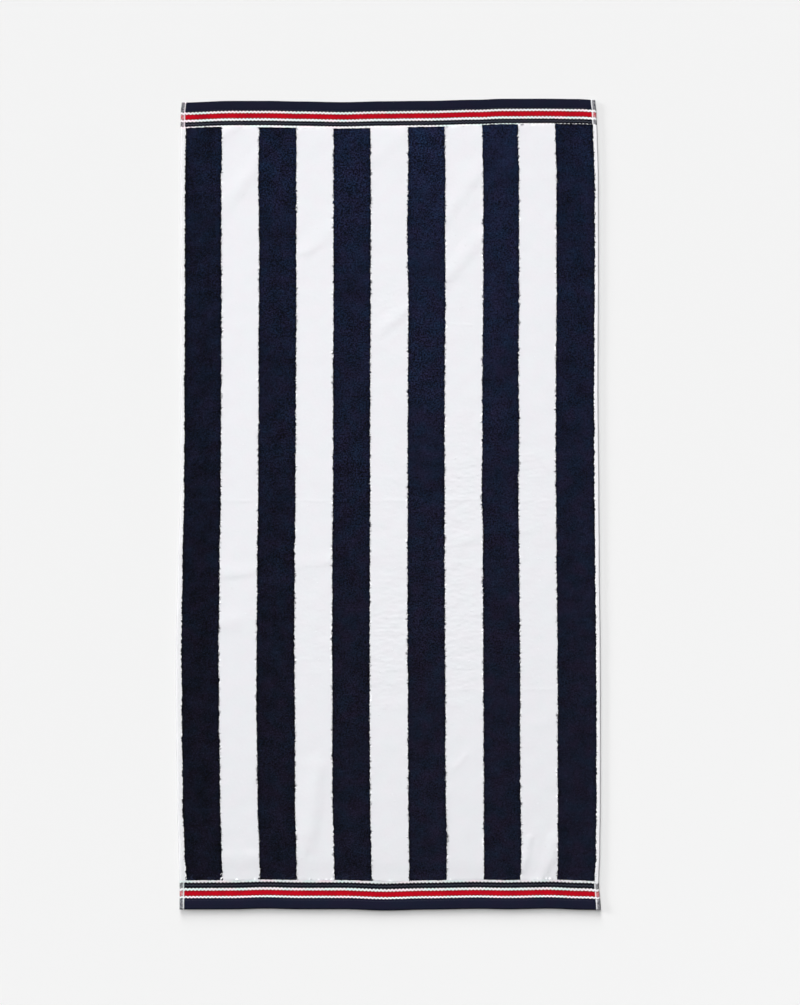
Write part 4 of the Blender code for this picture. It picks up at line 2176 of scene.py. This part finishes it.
NAVY_PILE = PileFinish(
    name="navy_pile",
    head=(0.0050, 0.0079, 0.0236),
    foot=(0.0048, 0.0054, 0.0134),
    patch_share=0.40,
    clump_share=0.42,
    pit_shade_and_grain_share=0.95,
    warm=(1.24, 0.93, 0.98),
    cool=(0.74, 1.10, 1.05),
    lint_and_glint=(0.034, 0.040, 0.075),
    lint_and_glint_share=0.5,
    edge_shade=0.70,
    across_share=0.26,
    bump=0.55,
)
WHITE_PILE = PileFinish(
    name="white_pile",
    head=(0.785, 0.783, 0.815),
    foot=(0.776, 0.778, 0.808),
    patch_share=0.006,
    clump_share=0.006,
    pit_shade_and_grain_share=0.005,
    warm=(1.004, 0.994, 0.998),
    cool=(0.992, 1.006, 1.002),
    lint_and_glint=(0.850, 0.850, 0.870),
    lint_and_glint_share=0.2,
    edge_shade=0.02,
    across_share=0.0,
    bump=0.08,
)
NAVY_CUT = PileCut(nub_height=0.0006, sway=0.0018, edge_sway=0.0016, field_loops=0.016)
WHITE_CUT = PileCut(nub_height=0.00013, sway=0.0010, edge_sway=0.0010, field_loops=0.004)


class BeachTowel:
    """The towel: its sheet, its stripes of pile and its sewing."""

    def __init__(self) -> None:
        """Settles how the towel lies and where its stripes and bands fall."""
        self.lie = TowelLie()
        self.layout = Layout()
        self.effects = Effects()
        self.sheet = WovenSheet(self.lie, self.layout)

    def build(self) -> None:
        """Makes every piece and says how it belongs to the towel."""
        sheet = self.sheet.build(ClothFinish(self.layout).make(self.effects))
        pile = self.build_pile()
        sewing = self.build_sewing()
        for piece in [sheet, *pile, *sewing]:
            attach(piece, BODY)
            LOG.info("%s: %d faces", piece.name, len(piece.data.polygons))
        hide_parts(CAD_NODE)

    def build_pile(self) -> list[bpy.types.Object]:
        """Makes the pile of every stripe.

        Returns:
            The stripes, from the left.
        """
        nodes = PileNodes()
        kinds = {
            Dye.NAVY: (NAVY_CUT, NAVY_PILE.make(self.effects), Slot.NAVY_PILE),
            Dye.WHITE: (WHITE_CUT, WHITE_PILE.make(self.effects), Slot.WHITE_PILE),
        }
        made = []
        for order, row in enumerate(STRIPES):
            cut, material, slot = kinds[row.dye]
            piece = PileStripe(self.lie, self.layout, order, cut).build(nodes, material)
            made.append(piece)
        return made

    def build_sewing(self) -> list[bpy.types.Object]:
        """Makes the hems' stitches.

        Returns:
            The lines of stitches.
        """
        materials = {
            "white": ThreadFinish("white_thread", Dye.WHITE).make(),
            "navy": ThreadFinish("navy_thread", Dye.BORDER_NAVY).make(),
        }
        pieces = HemSewing(self.lie, self.sheet).build(StitchNodes(), materials)
        return [piece for piece in pieces]


def main() -> None:
    """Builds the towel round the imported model, in its studio."""
    logging.basicConfig(level=logging.INFO, format="%(name)s: %(message)s")
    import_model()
    BeachTowel().build()
    Studio().build()


if __name__ == "__main__":
    main()
